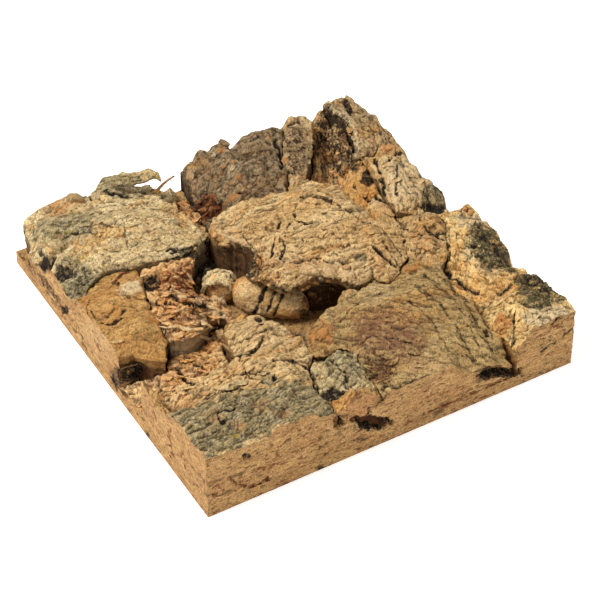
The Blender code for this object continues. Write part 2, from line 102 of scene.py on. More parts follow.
# %% Table and light
def make_table():
    """A white sheet under the slab, large enough for every view. It glows a little, so that shadows on
    it stay as faint as on a lit photographer's table."""
    mesh = bpy.data.meshes.new("table")
    reach = 6.0
    corners = [(-reach, -reach, 0), (reach, -reach, 0), (reach, reach, 0), (-reach, reach, 0)]
    mesh.from_pydata(corners, [], [(0, 1, 2, 3)])
    table = bpy.data.objects.new("table", mesh)
    bpy.context.scene.collection.objects.link(table)
    paint = bpy.data.materials.new("table_white")
    paint.use_nodes = True
    shader = paint.node_tree.nodes["Principled BSDF"]
    shader.inputs["Base Color"].default_value = (0.9, 0.9, 0.9, 1)
    shader.inputs["Roughness"].default_value = 0.8
    shader.inputs["Emission Color"].default_value = (1, 1, 1, 1)
    shader.inputs["Emission Strength"].default_value = 0.55
    mesh.materials.append(paint)
    table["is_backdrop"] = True


def make_lamp(name, place, side, watts):
    lamp = bpy.data.objects.new(name, bpy.data.lights.new(name, "AREA"))
    lamp.data.size = side
    lamp.data.energy = watts
    lamp.location = place
    lamp.rotation_euler = (Vector(place) - LOOK_AT).to_track_quat("Z", "Y").to_euler()
    bpy.context.scene.collection.objects.link(lamp)


make_table()
make_lamp("key_lamp", (-1.2, 0.3, 2.0), 0.7, 60)
make_lamp("front_lamp", (0.3, -1.8, 1.2), 1.2, 11)
world = bpy.data.worlds.new("surroundings")
world.use_nodes = True
world.node_tree.nodes["Background"].inputs["Color"].default_value = (1, 0.99, 0.97, 1)
world.node_tree.nodes["Background"].inputs["Strength"].default_value = 0.46
bpy.context.scene.world = world
bpy.context.scene.view_settings.view_transform = "Standard"

# %% [markdown]
# The pieces. Seen from above, the slab is a map: neighbours share their corners, so nothing overlaps
# and nothing is missing. Each piece has its outline, the way its fibres run and a few spot heights
# that the bark surface passes through, all in millimetres. They are the same as in the solid model,
# so each finished piece lies exactly where its solid is.

# %% The map of bark pieces
MM = 0.001
HALF = 150.0  # half the side of the sawn square
BOARD = 11.0  # thickness of the pressed-cork board
GLUE_LINE = 0.1  # between the board and the bark
ROLL_WIDTH, ROLL_DROP = 7.0, 3.0  # natural edges round over within this distance, and fall this much
SPOT_SOFTNESS = 5.0


def bark_piece(grain, relief, outline, spots):
    """The direction of the fibres in degrees, the height of the lumps, the corners, the spot heights."""
    return dict(grain=grain, relief=relief, outline=outline, spots=spots)


BARK = {
    "grey_plate": bark_piece(-10, 1.6, [
        (-150, 34), (-131, 55), (-114, 60), (-95, 57), (-73, 50), (-48, 48), (-34, 62), (-34, 80),
        (-44, 108), (-46, 118), (-60, 118), (-84, 126), (-88, 150), (-136, 150), (-143, 143), (-146, 132),
        (-150, 118)], [
        (-150, 36, 40), (-150, 60, 37), (-150, 84, 44), (-150, 100, 31), (-150, 116, 24), (-146, 130, 28),
        (-142, 143, 36), (-142, 60, 47), (-142, 84, 50), (-140, 104, 46), (-137, 124, 45),
        (-137, 149, 42), (-130, 147, 45), (-120, 149, 45), (-104, 150, 46), (-90, 148, 40),
        (-84, 128, 50), (-60, 118, 50), (-46, 112, 47), (-34, 82, 45), (-35, 63, 47), (-50, 50, 47),
        (-73, 52, 49), (-95, 59, 50), (-131, 57, 49), (-85, 92, 57), (-110, 104, 56), (-62, 80, 54),
        (-120, 76, 54), (-130, 125, 49)]),
    "curled_peel": bark_piece(5, 1, [
        (-88, 150), (-84, 126), (-60, 118), (-46, 118), (-36, 126), (-34, 140), (-38, 150)], [
        (-87, 149, 43), (-86, 128, 50), (-75, 138, 50), (-64, 140, 44), (-60, 122, 49), (-52, 130, 38),
        (-54, 141, 31), (-46, 140, 30), (-36, 137, 31), (-48, 120, 43), (-60, 150, 36), (-40, 150, 29)]),
    "low_back_piece": bark_piece(60, 1.5, [
        (-38, 150), (-34, 140), (-36, 126), (-46, 118), (-44, 108), (-34, 80), (-34, 62), (-31, 66),
        (-23, 75), (-20, 90), (-15, 113), (-15, 127), (-18, 150)], [
        (-36, 148, 24), (-20, 148, 15), (-30, 125, 22), (-25, 100, 22), (-30, 85, 28), (-30, 70, 34)]),
    "dark_back_chunk": bark_piece(20, 3, [
        (-5, 150), (-13, 131), (-15, 113), (-20, 90), (-23, 75), (-4, 73), (9, 73), (22, 69), (36, 66),
        (44, 73), (49, 81), (52, 102), (62, 114), (72, 128), (78, 143), (80, 150)], [
        (-4, 150, 30), (13, 150, 42), (26, 150, 44), (39, 150, 34), (58, 150, 40), (78, 150, 35),
        (-12, 130, 36), (-15, 113, 30), (-19, 90, 28), (-20, 76, 33), (-12, 90, 27), (-8, 136, 46),
        (5, 142, 50), (15, 125, 57), (40, 130, 57), (60, 130, 52), (72, 137, 45), (30, 100, 58),
        (44, 95, 51), (46, 78, 46), (36, 69, 46), (10, 76, 45), (0, 100, 50), (20, 85, 52)]),
    "upright_flake": bark_piece(60, 1.5, [
        (80, 150), (78, 143), (72, 128), (62, 114), (52, 102), (49, 81), (44, 73), (57, 73), (66, 83),
        (80, 101), (90, 114), (99, 134), (101, 150)], [
        (80, 150, 34), (88, 150, 43), (100, 150, 38), (85, 142, 50), (95, 136, 49), (75, 122, 55),
        (86, 118, 50), (62, 105, 53), (72, 98, 50), (55, 90, 50), (60, 84, 47), (48, 75, 46)]),
    "hollow_trough": bark_piece(70, 1.2, [
        (101, 150), (99, 134), (90, 114), (80, 101), (66, 83), (57, 73), (60, 65), (70, 60), (76, 56),
        (88, 68), (103, 82), (113, 95), (118, 110), (119, 133), (117, 150)], [
        (102, 150, 34), (115, 150, 42), (108, 148, 29), (98, 134, 38), (107, 130, 25), (117, 125, 43),
        (88, 113, 35), (100, 108, 22), (115, 105, 41), (76, 96, 32), (85, 85, 20), (97, 86, 28),
        (66, 81, 32), (73, 72, 20), (86, 70, 26), (60, 68, 30), (106, 88, 37)]),
    "back_corner_chunk": bark_piece(65, 2.4, [
        (117, 150), (119, 133), (118, 110), (113, 95), (103, 82), (112, 83), (120, 80), (136, 87),
        (150, 88), (150, 150)], [
        (119, 150, 45), (139, 150, 43), (150, 149, 32), (150, 134, 35), (150, 112, 37), (150, 90, 35),
        (133, 140, 52), (139, 120, 48), (136, 100, 47), (122, 122, 52), (119, 102, 48), (110, 86, 44),
        (132, 90, 44)]),
    "right_back_chunk": bark_piece(75, 2.4, [
        (112, 83), (120, 80), (136, 87), (150, 88), (150, -5), (139, -7), (128, -6), (120, 2), (108, 5),
        (100, 8), (101, 26), (104, 41), (110, 64)], [
        (150, 87, 34), (150, 70, 28), (150, 55, 26), (150, 40, 30), (150, 28, 33), (150, 13, 17),
        (150, -3, 18), (140, 83, 42), (143, 70, 40), (139, 52, 44), (138, 30, 47), (137, 12, 40),
        (130, 0, 43), (110, 7, 46), (103, 30, 46), (111, 62, 45), (122, 79, 44), (120, 40, 54),
        (124, 60, 52), (119, 20, 52)]),
    "upper_wedge_flake": bark_piece(50, 1.6, [
        (76, 56), (88, 68), (103, 82), (112, 83), (110, 64), (104, 41), (88, 36), (74, 40)], [
        (78, 54, 40), (90, 69, 40), (106, 81, 42), (109, 64, 43), (102, 43, 42), (88, 38, 36),
        (95, 58, 46)]),
    "lower_wedge_flake": bark_piece(70, 1.6, [
        (74, 40), (88, 36), (104, 41), (101, 26), (100, 8), (98, -6), (88, -12), (82, 2), (79, 12),
        (76, 22)], [
        (78, 38, 38), (100, 38, 42), (99, 10, 42), (90, -8, 40), (83, 6, 38), (80, 20, 38), (92, 22, 47)]),
}
print(len(BARK), "pieces of bark at the back and the right")

# %% [markdown]
# The same for the high pieces in the middle, and for those along the right and the front edge.

# %% Pieces of the middle and the front
BARK |= {
    "centre_chunk": bark_piece(-12, 2.2, [
        (-34, 53), (-34, 62), (-31, 66), (-23, 75), (-4, 73), (9, 73), (22, 69), (36, 66), (44, 73),
        (57, 73), (60, 65), (70, 60), (76, 56), (74, 40), (76, 22), (79, 12), (82, 2), (88, -12),
        (86, -22), (80, -34), (73, -42), (63, -50), (55, -52), (48, -48), (45, -42), (38, -47), (30, -48),
        (26, -42), (20, -33), (8, -26), (-14, -28), (-22, -20), (-34, -2), (-33, 4), (-18, 14), (-19, 24),
        (-25, 38)], [
        (-33, 55, 50), (-26, 70, 46), (-5, 72, 53), (20, 68, 55), (50, 71, 52), (60, 64, 55),
        (75, 54, 53), (75, 30, 54), (81, 8, 53), (87, -12, 51), (80, -32, 51), (62, -49, 49),
        (52, -49, 50), (45, -40, 55), (32, -47, 51), (22, -36, 53), (0, -27, 55), (-20, -22, 55),
        (-33, 0, 52), (-18, 16, 55), (-25, 36, 53), (0, 45, 60), (10, 10, 62), (40, 40, 64), (40, 5, 65),
        (60, 20, 63), (60, -20, 62), (25, -15, 61), (-10, -8, 60)]),
    "round_chunk": bark_piece(30, 1.4, [
        (88, -12), (98, -6), (100, 8), (108, 5), (120, 2), (128, -6), (126, -19), (114, -34), (107, -46),
        (98, -59), (94, -51), (88, -43), (80, -39), (73, -42), (80, -34), (86, -22)], [
        (91, -12, 47), (100, 4, 44), (112, 2, 46), (126, -5, 45), (125, -18, 46), (113, -34, 45),
        (100, -55, 42), (90, -45, 45), (82, -37, 47), (87, -24, 49), (106, -14, 54), (98, -34, 53),
        (114, -12, 53)]),
    "mossy_chunk": bark_piece(-50, 2.4, [
        (128, -6), (139, -7), (150, -5), (150, -90), (141, -89), (125, -94), (112, -99), (99, -99),
        (102, -92), (97, -85), (96, -68), (98, -59), (107, -46), (114, -34), (126, -19)], [
        (150, -10, 46), (150, -25, 48), (150, -44, 50), (150, -55, 43), (150, -74, 33), (150, -88, 40),
        (130, -10, 46), (141, -9, 47), (138, -38, 52), (143, -58, 49), (131, -60, 48), (121, -75, 40),
        (104, -60, 36), (101, -78, 34), (100, -96, 31), (113, -96, 32), (126, -91, 38), (140, -84, 44),
        (114, -42, 42), (125, -24, 46)]),
    "right_front_chunk": bark_piece(-60, 1.6, [
        (99, -99), (112, -99), (125, -94), (141, -89), (150, -90), (150, -150), (105, -150), (100, -138),
        (97, -126), (96, -112)], [
        (150, -92, 42), (150, -100, 46), (150, -118, 49), (150, -136, 53), (150, -149, 52),
        (112, -150, 53), (106, -149, 42), (130, -148, 54), (144, -130, 50), (130, -125, 52),
        (121, -110, 49), (140, -96, 44), (113, -102, 38), (100, -104, 31), (100, -124, 33),
        (108, -134, 43), (103, -145, 35)]),
    "big_brown_chunk": bark_piece(-40, 1.6, [
        (26, -42), (30, -48), (38, -47), (45, -42), (48, -48), (55, -52), (63, -50), (73, -42), (80, -39),
        (88, -43), (94, -51), (98, -59), (96, -68), (97, -85), (102, -92), (99, -99), (96, -112),
        (97, -126), (98, -138), (96, -150), (-10, -150), (-11, -145), (-8, -125), (-7, -112), (-2, -103),
        (-6, -93), (-12, -90), (-24, -91), (-30, -86), (-29, -73), (-24, -65), (-16, -59), (-7, -56),
        (10, -51), (20, -44)], [
        (-9, -150, 49), (10, -150, 48.6), (27, -150, 48.6), (68, -150, 34), (94, -150, 28),
        (97, -126, 37), (95, -110, 42), (98, -95, 42), (96, -80, 43), (96, -62, 44), (88, -46, 46),
        (73, -44, 47), (50, -50, 48), (25, -46, 47), (2, -54, 46), (-18, -62, 44), (-28, -78, 42),
        (-20, -89, 42), (-4, -96, 44), (-6, -115, 46), (-9, -135, 48), (-12, -74, 49), (18, -75, 54),
        (45, -88, 56), (70, -80, 54), (30, -112, 54), (58, -118, 50), (80, -130, 42), (5, -105, 50),
        (80, -105, 49), (40, -135, 50)]),
    "grey_knob": bark_piece(0, 1.6, [
        (-30, -86), (-24, -91), (-12, -90), (-6, -93), (-2, -103), (-7, -112), (-8, -125), (-11, -145),
        (-25, -140), (-40, -139), (-48, -137), (-49, -130), (-47, -121), (-43, -109), (-39, -97)], [
        (-29, -90, 42), (-10, -93, 44), (-4, -103, 44), (-9, -125, 46), (-12, -142, 48), (-30, -138, 50),
        (-46, -134, 48), (-45, -118, 46), (-38, -100, 44), (-24, -108, 54), (-22, -125, 55)]),
    "front_wedge": bark_piece(50, 0.8, [
        (-48, -137), (-40, -139), (-25, -140), (-11, -145), (-10, -150), (-47, -150)], [
        (-46, -149, 52), (-32, -149, 61), (-12, -149, 50), (-42, -140, 52), (-25, -141, 57),
        (-12, -146, 50)]),
}
print(len(BARK), "pieces so far")

# %% [markdown]
# And the left side, with the low pieces in the hollows.

# %% Pieces of the left side
BARK |= {
    "front_left_chunk": bark_piece(10, 2, [
        (-150, -96), (-142, -90), (-135, -93), (-123, -90), (-113, -77), (-100, -64), (-91, -65),
        (-82, -63), (-78, -58), (-75, -41), (-69, -29), (-62, -27), (-50, -28), (-42, -34), (-36, -42),
        (-31, -52), (-29, -63), (-29, -73), (-30, -86), (-39, -97), (-43, -109), (-47, -121), (-49, -130),
        (-48, -137), (-47, -150), (-150, -150)], [
        (-150, -98, 54), (-150, -120, 58), (-150, -150, 59), (-132, -150, 56), (-118, -150, 56),
        (-105, -150, 55), (-93, -150, 57.5), (-68, -150, 56), (-58, -150, 53), (-48, -149, 52),
        (-47, -125, 50), (-40, -100, 48), (-31, -78, 46), (-31, -55, 46), (-45, -33, 46), (-68, -31, 46),
        (-76, -50, 46), (-90, -66, 47), (-112, -78, 48), (-124, -91, 50), (-140, -92, 51), (-58, -58, 56),
        (-75, -85, 58), (-60, -105, 56), (-100, -100, 56), (-120, -115, 57), (-90, -125, 57),
        (-130, -135, 57)]),
    "amber_plate": bark_piece(-35, 1.2, [
        (-150, 34), (-131, 55), (-114, 60), (-95, 57), (-98, 40), (-106, 22), (-107, 0), (-109, -19),
        (-121, -37), (-129, -32), (-140, -22), (-150, -20)], [
        (-150, 30, 48), (-150, -11, 48), (-131, 53, 45), (-114, 58, 45), (-97, 55, 45), (-99, 38, 47),
        (-107, 20, 47), (-108, -4, 46), (-110, -21, 42), (-121, -35, 40), (-131, -30, 42),
        (-148, -19, 46), (-130, 20, 52), (-125, -2, 52), (-118, 40, 50)]),
    "rust_chunk": bark_piece(-15, 2.6, [
        (-95, 57), (-73, 50), (-48, 48), (-57, 41), (-66, 26), (-67, 12), (-57, 5), (-51, -13),
        (-50, -28), (-62, -27), (-63, -14), (-73, -12), (-85, -22), (-96, -26), (-109, -19), (-107, 0),
        (-106, 22), (-98, 40)], [
        (-92, 54, 43), (-73, 48, 44), (-50, 46, 42), (-58, 38, 42), (-67, 20, 41), (-59, 4, 40),
        (-52, -14, 38), (-56, -26, 37), (-72, -13, 40), (-90, -24, 42), (-107, -18, 43), (-106, 2, 47),
        (-105, 22, 47), (-97, 40, 45), (-84, 25, 52), (-86, 0, 50), (-73, 32, 49)]),
    "left_hollow_piece": bark_piece(-20, 2.4, [
        (-150, -20), (-140, -22), (-129, -32), (-121, -37), (-109, -19), (-96, -26), (-85, -22),
        (-73, -12), (-63, -14), (-62, -27), (-69, -29), (-75, -41), (-78, -58), (-82, -63), (-91, -65),
        (-100, -64), (-113, -77), (-123, -90), (-135, -93), (-142, -90), (-141, -70), (-144, -56),
        (-150, -52)], [
        (-150, -25, 17), (-150, -48, 18), (-140, -40, 20), (-130, -50, 24), (-120, -45, 28),
        (-104, -48, 33), (-100, -34, 26), (-85, -35, 25), (-80, -50, 28), (-93, -58, 33), (-68, -22, 27),
        (-120, -70, 34), (-135, -82, 31), (-140, -62, 24)]),
    "left_edge_piece": bark_piece(80, 1.4, [
        (-150, -52), (-144, -56), (-141, -70), (-142, -90), (-150, -96)], [
        (-150, -55, 54), (-150, -92, 52), (-144, -60, 48), (-142, -76, 44), (-143, -88, 46)]),
    "inner_floor_piece": bark_piece(0, 1.2, [
        (-48, 48), (-34, 62), (-34, 53), (-25, 38), (-19, 24), (-18, 14), (-24, 12), (-32, 20), (-46, 19),
        (-57, 5), (-67, 12), (-66, 26), (-57, 41)], [
        (-48, 46, 24), (-35, 58, 24), (-26, 38, 20), (-20, 16, 16), (-40, 22, 17), (-57, 8, 20),
        (-62, 22, 22)]),
    "inner_front_piece": bark_piece(-30, 1, [
        (-50, -28), (-51, -13), (-50, -8), (-12, -38), (2, -44), (10, -51), (-7, -56), (-16, -59),
        (-24, -65), (-29, -73), (-29, -63), (-31, -52), (-36, -42), (-42, -34)], [
        (-50, -20, 24), (-40, -25, 20), (-25, -45, 15), (-10, -50, 16), (4, -49, 18), (-27, -62, 16)]),
}
print(len(BARK), "pieces of bark on the map")

# %% [markdown]
# Bark is random, but the same bark has to come back on every run. So the noise is worked out from
# whole numbers: each lattice point gets a fixed value, and the surface passes smoothly from one to
# the next. Stretched along the fibres it makes ridges, its nearest seeds make cracked plates, and
# rounded down to steps it makes torn layers.

# %% Noise
def lattice(column, row, seed):
    """A fixed pseudo-random value from 0 to 1 for each whole-numbered lattice point."""
    mixed = (column * 374761393 + row * 668265263 + seed * 1442695041) & 0xFFFFFFFF
    mixed = ((mixed ^ (mixed >> 13)) * 1274126177) & 0xFFFFFFFF
    return ((mixed ^ (mixed >> 16)) & 0xFFFF) / 65535.0


def lumps(x, y, size, seed):
    """Smooth bumps from -1 to 1, about one for each size millimetres: lattice values, eased between."""
    column, row = np.floor(x / size).astype(np.int64), np.floor(y / size).astype(np.int64)
    u, v = x / size - column, y / size - row
    u, v = u * u * (3 - 2 * u), v * v * (3 - 2 * v)
    low = lattice(column, row, seed) * (1 - u) + lattice(column + 1, row, seed) * u
    high = lattice(column, row + 1, seed) * (1 - u) + lattice(column + 1, row + 1, seed) * u
    return 2 * (low * (1 - v) + high * v) - 1


def lumps_in_space(x, y, z, size, seed):
    """The same in three dimensions: two layers of flat lumps, eased from one to the next."""
    layer = np.floor(z / size).astype(np.int64)
    share = z / size - layer
    share = share * share * (3 - 2 * share)
    turned = x + 0.37 * z, y - 0.29 * z
    low, high = lumps(*turned, size, seed + 131 * layer), lumps(*turned, size, seed + 131 * (layer + 1))
    return low * (1 - share) + high * share


def rough(x, y, size, seed, octaves=3):
    """Lumps, plus the same at half the size and half the height, and so on."""
    return sum(lumps(x + 7 * n, y - 5 * n, size / 2**n, seed + n) / 2**n for n in range(octaves)) / 1.5


def creased(x, y, size, seed, octaves=3):
    """Round lumps with sharp creases between them, from 0 to about 1: the lumps without their sign."""
    folds = (np.abs(lumps(x + 7 * n, y - 5 * n, size / 2**n, seed + n)) / 2**n for n in range(octaves))
    return sum(folds) / 1.2


def ease(low, high, value):
    """0 below low, 1 above high, and a smooth S between."""
    share = np.clip((value - low) / (high - low), 0, 1)
    return share * share * (3 - 2 * share)


def plates(x, y, size, seed):
    """Cracked plates: one seed point in each lattice cell. For each point, how far the border between
    its two nearest seeds lies, in millimetres, and the fixed random value of its own plate."""
    column, row = np.floor(x / size).astype(np.int64), np.floor(y / size).astype(np.int64)
    nearest, second, own = np.full(x.shape, 99.0), np.full(x.shape, 99.0), np.zeros(x.shape)
    for i in (-1, 0, 1):
        for j in (-1, 0, 1):
            right = column + i + lattice(column + i, row + j, seed) - x / size
            up = row + j + lattice(column + i, row + j, seed + 1) - y / size
            gap = np.hypot(right, up)
            own = np.where(gap < nearest, lattice(column + i, row + j, seed + 2), own)
            second = np.where(gap < nearest, nearest, np.minimum(second, gap))
            nearest = np.minimum(nearest, gap)
    return size * (second - nearest), own


def terraces(value, edge=0.25):
    """Steps: flat for most of each whole number, then up to the next within the edge."""
    whole = np.floor(value)
    return whole + ease(1 - edge, 1, value - whole)


def softened(values, reach):
    """The mean over a square of grid points, taken twice, by running sums along each axis."""
    for axis in (0, 1, 0, 1):
        rows = np.moveaxis(values, axis, 0)
        padded = np.pad(rows, ((reach + 1, reach), (0, 0)), mode="edge")
        total = np.cumsum(padded, axis=0)
        values = np.moveaxis((total[2 * reach + 1:] - total[:len(rows)]) / (2 * reach + 1), 0, axis)
    return values


sample = np.linspace(0, 30, 400)
print(f"noise from {lumps(sample, sample, 6, 1).min():.2f} to {lumps(sample, sample, 6, 1).max():.2f}")

# %% [markdown]
# Marks are what noise can't know: the long crack, the rotted hole, the pink lip. Each is a line or
# an ellipse at the pixels where the photograph shows it, with how deep it sinks in millimetres and
# what it paints. They are turned into heights and into paint masks on the mesh itself, so they stay
# where they are from every side.

# %% Marks
PAINTS = ("dark", "pale", "warm", "rust", "lichen", "moss", "purple", "yellow")


def line(*route, width=1.2, sink=0.0, **paint):
    """A drawn line through pixels of the photograph."""
    return dict(route=route, width=width, sink=sink, paint=paint)


def spot(middle, radii, turn=0.0, soft=0.35, sink=0.0, **paint):
    """An ellipse at a pixel of the photograph, turned clockwise by degrees, with a soft rim."""
    return dict(middle=middle, radii=radii, turn=turn, soft=soft, sink=sink, paint=paint)


def crack(width, sink, dark, *route):
    """A dark line that sinks in: the crack's own dark and painted shade in it."""
    return line(*route, width=width, sink=sink, dark=dark)


def hole(middle, radii, sink, dark):
    """A dark ellipse that sinks in: painted shade in a hole."""
    return spot(middle, radii, sink=sink, dark=dark)


def stain(middle, radii, turn=0.0, **paint):
    """An ellipse with a softer rim."""
    return spot(middle, radii, turn, 0.5, **paint)


def coverage(mark, u, v, swell):
    """How much a mark covers each pixel place, from 0 to 1. On a line it falls with the distance to
    the nearest stretch, on an ellipse with the distance from the middle in radii. The swell makes it
    here a little wider and there a little narrower."""
    if "route" in mark:
        nearest = np.full(u.shape, 999.0)
        for (u0, v0), (u1, v1) in zip(mark["route"], mark["route"][1:]):
            length = (u1 - u0) ** 2 + (v1 - v0) ** 2
            share = np.clip(((u - u0) * (u1 - u0) + (v - v0) * (v1 - v0)) / length, 0, 1)
            nearest = np.minimum(nearest, np.hypot(u - u0 - share * (u1 - u0), v - v0 - share * (v1 - v0)))
        return 1 - ease(0.3, 1.0, nearest / (mark["width"] * swell))
    turn = math.radians(mark["turn"])
    u, v = u - mark["middle"][0], v - mark["middle"][1]
    along, across = u * math.cos(turn) + v * math.sin(turn), v * math.cos(turn) - u * math.sin(turn)
    away = np.hypot(along / mark["radii"][0], across / mark["radii"][1])
    return 1 - ease(1 - mark["soft"], 1 + mark["soft"], away / (0.6 + 0.4 * swell))


def apply_marks(marks, places, waver=1.0):
    """How deep the marks sink each place, and how strongly each paint covers it. The places are looked
    up a few pixels off, by the same noise for all marks, so that every route and rim wavers."""
    x, y, z = places.T
    u, v = seen_at(places)
    u = u + waver * (2.2 * lumps_in_space(x, y, z, 7, 77) + 1.5 * lumps_in_space(x, y, z, 2.6, 78))
    v = v + waver * (2.2 * lumps_in_space(x, y, z, 7, 79) + 1.5 * lumps_in_space(x, y, z, 2.6, 80))
    swell = 1.0 + 0.6 * lumps_in_space(x, y, z, 4, 81)
    sink, masks = np.zeros(len(u)), {paint: np.zeros(len(u)) for paint in PAINTS}
    for mark in marks:
        covered = coverage(mark, u, v, swell)
        sink += mark["sink"] * covered
        for paint, strength in mark["paint"].items():
            masks[paint] = np.maximum(masks[paint], strength * covered)
    return sink, masks

# %% [markdown]
# Each piece has its own habit. Tan cork breaks into long plates, rusty cork crumbles into layers,
# lichen crust is fine and level, and the dark old crust is coarse and knobbly. A habit is a handful
# of numbers: how large the plates are and how long, how deep the cracks between them, how high the
# torn steps, the ridges along the grain and the grit.

# %% Habits of the bark
def habit(plate, stretch, step, crack, depth, ridge, terrace, layer, grit):
    """One habit: plate, crack and layer are sizes, stretch is a ratio, and the rest are heights."""
    return dict(plate=plate, stretch=stretch, step=step, crack=crack, depth=depth, ridge=ridge,
                terrace=terrace, layer=layer, grit=grit)


CRUST = habit(20, 1.8, 0.45, 0.3, 0.4, ridge=0.5, terrace=0.5, layer=10, grit=0.9)
COARSE = habit(12, 1.3, 1.1, 0.4, 0.9, ridge=0.3, terrace=1.1, layer=9, grit=1.7)
PLATED = habit(19, 3.0, 0.8, 0.35, 0.8, ridge=1.35, terrace=1.0, layer=10, grit=0.5)
TORN = habit(18, 3.0, 0.8, 0.35, 0.7, ridge=1.7, terrace=1.2, layer=7, grit=0.7)
CRUMBLED = habit(9, 1.8, 1.4, 0.5, 0.9, ridge=0.5, terrace=1.7, layer=6.5, grit=1.7)
SMOOTH = habit(26, 2.0, 0.4, 0.3, 0.4, ridge=0.7, terrace=0.5, layer=12, grit=0.4)
STRIPED = habit(24, 4.0, 0.5, 0.3, 0.6, ridge=1.4, terrace=0.7, layer=8, grit=0.4)

HABITS = {
    "grey_plate": CRUST, "curled_peel": CRUST, "low_back_piece": CRUMBLED, "dark_back_chunk": COARSE,
    "upright_flake": SMOOTH, "hollow_trough": TORN, "back_corner_chunk": COARSE,
    "right_back_chunk": PLATED, "upper_wedge_flake": SMOOTH, "lower_wedge_flake": SMOOTH,
    "centre_chunk": PLATED, "round_chunk": PLATED, "mossy_chunk": TORN, "right_front_chunk": TORN,
    "big_brown_chunk": STRIPED, "grey_knob": COARSE, "front_wedge": TORN, "front_left_chunk": PLATED,
    "amber_plate": SMOOTH, "rust_chunk": CRUMBLED, "left_hollow_piece": CRUMBLED,
    "left_edge_piece": TORN, "inner_floor_piece": CRUMBLED, "inner_front_piece": TORN,
}


def fine_relief(x, y, z, look, grain, seed):
    """Height over the smooth bark surface, and how open the cracks are. Plates lie a little higher or
    lower than each other, with a crack along each border. Layers step down like torn paper. Ridges
    run along the grain, and creased crumbs cover everything. The smooth height z shifts the pattern,
    so that it isn't drawn out where the surface is steep."""
    turn = math.radians(grain)
    bend = 3.0 * lumps(x, y, 17, seed + 5) + 1.6 * lumps(x, y, 6, seed + 4)
    along = x * math.cos(turn) + y * math.sin(turn) + bend + 0.9 * lumps_in_space(x, y, z, 2.6, seed + 2)
    across = y * math.cos(turn) - x * math.sin(turn) + 0.6 * bend + 0.5 * z
    across = across + 0.8 * lumps(x, y, 5, seed + 6) + 0.5 * lumps_in_space(x, y, z, 2.2, seed + 8)
    border, own = plates(along / look["stretch"], across, look["plate"] / 2, seed + 7)
    open_here = ease(0.1, 0.8, lumps(x, y, 13, seed + 9))
    crack = (1 - ease(0.3 * look["crack"], 1.5 * look["crack"], border)) * open_here
    height = look["step"] * (2 * own - 1) * ease(0, 1.0, border) - look["depth"] * crack
    torn = rough(along / 2.2, across, look["layer"], seed + 11, 4)
    torn = torn + 0.35 * lumps_in_space(x, y, z, 5, seed + 12)
    height += look["terrace"] * terraces(2.6 * torn, 0.12) / 1.2
    fibres = creased(along / 6, across, 3.2, seed + 14, 2)
    height += look["ridge"] * (1.4 * fibres - 0.5)
    pit = ease(0.5, 0.85, lumps_in_space(along / 1.8, across, z, 2.9, seed + 17))
    pit *= ease(-0.2, 0.5, lumps(x, y, 12, seed + 18))
    height -= 0.5 * (0.5 + look["grit"]) * pit
    crumbs = sum(lumps_in_space(x + 9 * n, y, z, 3.6 / 1.8**n, seed + 20 + n) / 1.6**n for n in range(3))
    height += look["grit"] * 0.55 * crumbs
    return height, np.clip(0.8 * crack + 0.6 * pit, 0, 1)
